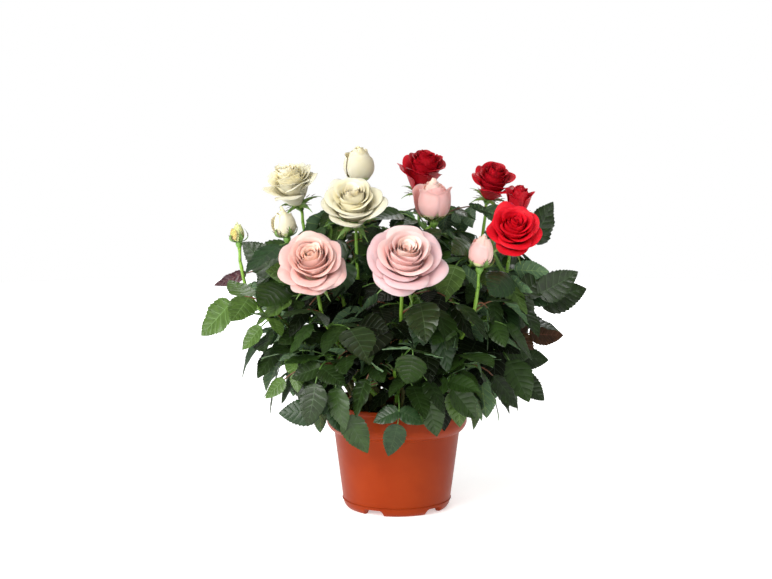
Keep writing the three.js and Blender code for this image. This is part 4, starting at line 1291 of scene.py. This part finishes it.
def leaf_materials():
    """Top, underside, midrib and underside rib for each tint, in the order that leaflets number them."""
    made = []
    for tint, tones in LEAF_TONES.items():
        under = BURGUNDY_UNDER if tint == "burgundy" else PLAIN_UNDER
        # leaves with painted shade also shine less
        gloss = {"Specular_IOR_Level": 0.1 if tint == "deep" else 0.36}
        made += [
            mottled("leaf_" + tint, *tones, LEAF_GRAIN, (0.27, 0.41), (0.25, 0.25), **gloss),
            mottled("leaf_under_" + tint, *under, LEAF_GRAIN, (0.6, 0.75), (0.3, 0.3)),
            mottled("rib_" + tint, *RIB_TONES.get(tint, PLAIN_RIB), RIB_GRAIN, (0.42, 0.55), (0.2, 0.2)),
            mottled("under_rib_" + tint, *UNDER_RIB_TONES, RIB_GRAIN, (0.5, 0.6), (0.2, 0.2)),
        ]
    return made


PETAL_GLOW = {"white": (1.0, 0.94, 0.82), "pink": (1.0, 0.75, 0.65), "red": (0.5, 0.15, 0.15)}
PETAL_SHADER = {"Subsurface_Weight": 0.5, "Subsurface_Scale": 0.0008, "Specular_IOR_Level": 0.25}


def petal_materials(colour, tint):
    """Thin petals let light through, reddest where it goes furthest."""
    extra = {"Subsurface_Radius": PETAL_GLOW[colour], **PETAL_SHADER}
    return [
        mottled(f"petal_{tint}_{name}", *tones, 90, (0.5, 0.62), (0.12, 0.15), **extra)
        for name, tones in zip(("foot", "heart", "middle", "outer"), PETAL_TONES[tint])
    ]


# ---- Pieces ----
RUSSET = ("bronze", "burgundy_end", "olive")  # leaves of these tints have a russet stalk
RUSSET_EVERY = 4  # and so has every fourth leaf


def blade_tint(leaf, blade):
    """A leaf with a burgundy end has plain leaflets behind it."""
    if leaf["tint"] != "burgundy_end":
        return leaf["tint"]
    return "dark" if blade["hand"] else "burgundy"


def leaf_pieces(canes, materials):
    """Leaflets joined cane by cane into large pieces, each standing for the masses that are in it."""
    grid = LeafletMesh()
    tints = list(LEAF_TONES)
    sheaf, nodes, number = Sheaf(), [], 1
    for index, cane in enumerate(canes):
        random = random_from(cane["seed"] * 51 + 3)
        for leaf in cane["leaves"]:
            for blade in leaf["blades"]:
                tint = blade_tint(leaf, blade)
                slim = END_SLIM if tint == "burgundy" else 1
                grid.place(sheaf, blade, random, 4 * tints.index(tint), leaf["loose"], slim)
        if cane["name"] in MASSES:
            nodes.append("leaves_" + cane["name"])
        if sheaf.triangles > PIECE_FULL or index == len(canes) - 1:
            piece = sheaf.piece(f"leaflets_{number}", materials, "leaf")
            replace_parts(piece, *nodes)
            sheaf, nodes, number = Sheaf(), [], number + 1


def twig_piece(canes):
    sheaf = Sheaf()
    for cane in canes:
        for i, leaf in enumerate(cane["leaves"]):
            stalk(sheaf, leaf, 1 if leaf["tint"] in RUSSET or i % RUSSET_EVERY == 0 else 0)
            stipules(sheaf, leaf, 0)
    green = mottled("stalk_green", "#3f5f25", "#587a30", 220, (0.4, 0.55), (0.2, 0.2))
    russet = mottled("stalk_russet", "#5a3a24", "#7a4a2e", 220, (0.4, 0.55), (0.2, 0.2))
    sheaf.piece("leaf_stalks", [green, russet], "leaf")


def cane_piece(flowers, leafy):
    sheaf = Sheaf()
    for cane in flowers + leafy:
        cane_mesh(sheaf, cane)
    for bloom in BLOOMS.values():
        pedicel(sheaf, bloom, 0)
    materials = [
        mottled("cane_green", "#5f8a2a", "#86ad3c", 90, (0.34, 0.5), (0.3, 0.3)),
        mottled("cane_woody", "#4a4a22", "#6b6a34", 120, (0.5, 0.7), (0.7, 0.6)),
        mottled("thorn", "#6f3a2a", "#8e5a3c", 200, (0.35, 0.5), (0.2, 0.2)),
    ]
    piece = sheaf.piece("canes", materials, "cane")
    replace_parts(piece, *("cane_" + cane["name"] for cane in flowers + leafy))


def petal_pieces():
    """One piece for each colour of rose, with four materials for each tint in it."""
    for colour in CUTTINGS:
        sheaf = Sheaf()
        blooms = {name: bloom for name, bloom in BLOOMS.items() if bloom[0] == colour}
        tints = sorted({bloom[5] for bloom in blooms.values()})
        for name, bloom in blooms.items():
            bloom_petals(sheaf, name, bloom, 4 * tints.index(bloom[5]))
        materials = [material for tint in tints for material in petal_materials(colour, tint)]
        piece = sheaf.piece("petals_" + colour, materials, "petal_" + colour)
        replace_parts(piece, *("bloom_" + name for name in blooms))


def sepal_piece():
    sheaf = Sheaf()
    for name, bloom in BLOOMS.items():
        hip_mesh(sheaf, bloom, 0)
        bloom_sepals(sheaf, name, bloom, (1, 2))
    materials = [
        mottled("hip", "#5d8a34", "#7fa64a", 160, (0.4, 0.5), (0.2, 0.2)),
        mottled("sepal", "#4c6f30", "#7b9a4e", 200, (0.5, 0.6), (0.3, 0.25)),
        mottled("sepal_thread", "#5a4028", "#7a6a3c", 200, (0.5, 0.6), (0.2, 0.2)),
    ]
    sheaf.piece("sepals", materials, "leaf")


def pot_piece():
    sheaf = Sheaf()
    pot_mesh(sheaf)
    gloss = {"Specular_IOR_Level": 0.13}
    plastic = mottled("pot_plastic", "#882b03", "#933307", 25, (0.36, 0.44), (0.06, 0.1), **gloss)
    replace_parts(sheaf.piece("nursery_pot", [plastic], "pot", sharp=32), "pot")


def soil_piece():
    sheaf = Sheaf()
    soil_mesh(sheaf)
    crumbs(sheaf)
    materials = [
        mottled("peat", "#150f0b", "#2e221a", 260, (0.85, 1.0), (1.0, 1.0)),
        mottled("peat_lump", "#1d140e", "#3a2a1f", 300, (0.85, 1.0), (1.0, 0.8)),
        mottled("peat_pale", "#5a4a38", "#8a7a66", 300, (0.85, 1.0), (1.0, 0.8)),
    ]
    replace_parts(sheaf.piece("peat", materials, "soil"), "soil")


# ---- Stage ----
WHITE = (1, 1, 1, 1)
FLOOR_RADIUS = 2.4
FLOOR_SIDES = 96
FLOOR_GLOW = {"From_Min": 0.3, "From_Max": 1.2, "To_Min": 0.46, "To_Max": 1.0}  # by distance in metres
MIDDLE = (0, 0, 0.17)


def floor():
    """A pale disc that grows as bright as the studio's white towards its edge."""
    mesh = bpy.data.meshes.new("floor")
    corners = [around(FLOOR_RADIUS, 2 * math.pi * k / FLOOR_SIDES, 0) for k in range(FLOOR_SIDES)]
    mesh.from_pydata(corners, [], [list(range(FLOOR_SIDES))])
    glowing = {"Emission_Color": WHITE}
    pale = mottled("floor_pale", "#f6f6f5", "#f9f9f8", 3, (0.85, 0.95), (0.02, 0.1), **glowing)
    tree = pale.node_tree
    out = tree.nodes.new("ShaderNodeVectorMath")
    out.operation = "LENGTH"
    glow = node(tree, "MapRange", **FLOOR_GLOW)
    tree.links.new(tree.nodes["Texture Coordinate"].outputs["Object"], out.inputs[0])
    tree.links.new(out.outputs["Value"], glow.inputs["Value"])
    tree.links.new(glow.outputs["Result"], tree.nodes["Principled BSDF"].inputs["Emission Strength"])
    mesh.materials.append(pale)
    placed("floor", mesh)


def lamp(name, place, target, size, power, colour=(1, 1, 1)):
    """A round soft lamp of this size in metres and power in watts, turned to its target."""
    light = bpy.data.lights.new(name, "AREA")
    light.shape = "DISK"
    light.size = size
    light.energy = power
    light.color = colour
    made = placed(name, light)
    made.location = place
    way = np.array(target) - np.array(place)
    yaw = math.atan2(way[0], -way[1])
    made.rotation_euler = (math.acos(-way[2] / np.linalg.norm(way)), 0, yaw + math.pi)


def studio_world():
    """Soft light from all round, in front of a white that is brighter than the light."""
    world = bpy.data.worlds.new("studio")
    bpy.context.scene.world = world
    world.use_nodes = True
    tree = world.node_tree
    soft = tree.nodes["Background"]
    white = tree.nodes.new("ShaderNodeBackground")
    seen = tree.nodes.new("ShaderNodeLightPath")
    blend = tree.nodes.new("ShaderNodeMixShader")
    for shader, strength in ((soft, 0.3), (white, 1.0)):
        shader.inputs["Color"].default_value = WHITE
        shader.inputs["Strength"].default_value = strength
    tree.links.new(seen.outputs["Is Camera Ray"], blend.inputs[0])
    tree.links.new(soft.outputs[0], blend.inputs[1])
    tree.links.new(white.outputs[0], blend.inputs[2])
    tree.links.new(blend.outputs[0], tree.nodes["World Output"].inputs["Surface"])


def stage():
    floor()
    lamp("key", (-1.1, -1.6, 1.4), MIDDLE, 1.3, 42, (1, 0.985, 0.96))
    lamp("fill", (-0.2, -2.1, 0.95), MIDDLE, 0.9, 14)
    lamp("low", (-1.7, -0.9, 0.3), (0, 0, 0.05), 0.7, 12)
    lamp("back", (0.4, 1.6, 1.5), MIDDLE, 1.4, 18)
    studio_world()
    bpy.context.scene.view_settings.view_transform = "Standard"


def camera():
    lens = bpy.data.cameras.new("camera")
    lens.sensor_width = 36
    lens.sensor_fit = "HORIZONTAL"
    lens.lens = 36 * 1385 / 772  # 1385 pixels of focal length, in a picture 772 pixels wide
    lens.clip_start = 0.05
    made = placed("camera", lens)
    made.location = (-0.0099, -1.25, 0.32)
    made.rotation_euler = (math.radians(90 - 5.55), 0, 0)  # tipped down from level
    bpy.context.scene.camera = made


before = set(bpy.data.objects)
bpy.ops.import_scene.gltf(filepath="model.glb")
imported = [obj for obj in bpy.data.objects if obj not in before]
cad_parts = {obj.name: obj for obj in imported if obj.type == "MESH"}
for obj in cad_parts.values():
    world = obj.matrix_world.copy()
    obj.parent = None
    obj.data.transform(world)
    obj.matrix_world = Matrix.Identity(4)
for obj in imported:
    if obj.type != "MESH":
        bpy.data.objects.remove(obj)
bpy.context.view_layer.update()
camera()
stage()
flowers, leafy = grow_plant()
leaf_pieces(flowers + leafy, leaf_materials())
twig_piece(flowers + leafy)
cane_piece(flowers, leafy)
petal_pieces()
sepal_piece()
pot_piece()
soil_piece()
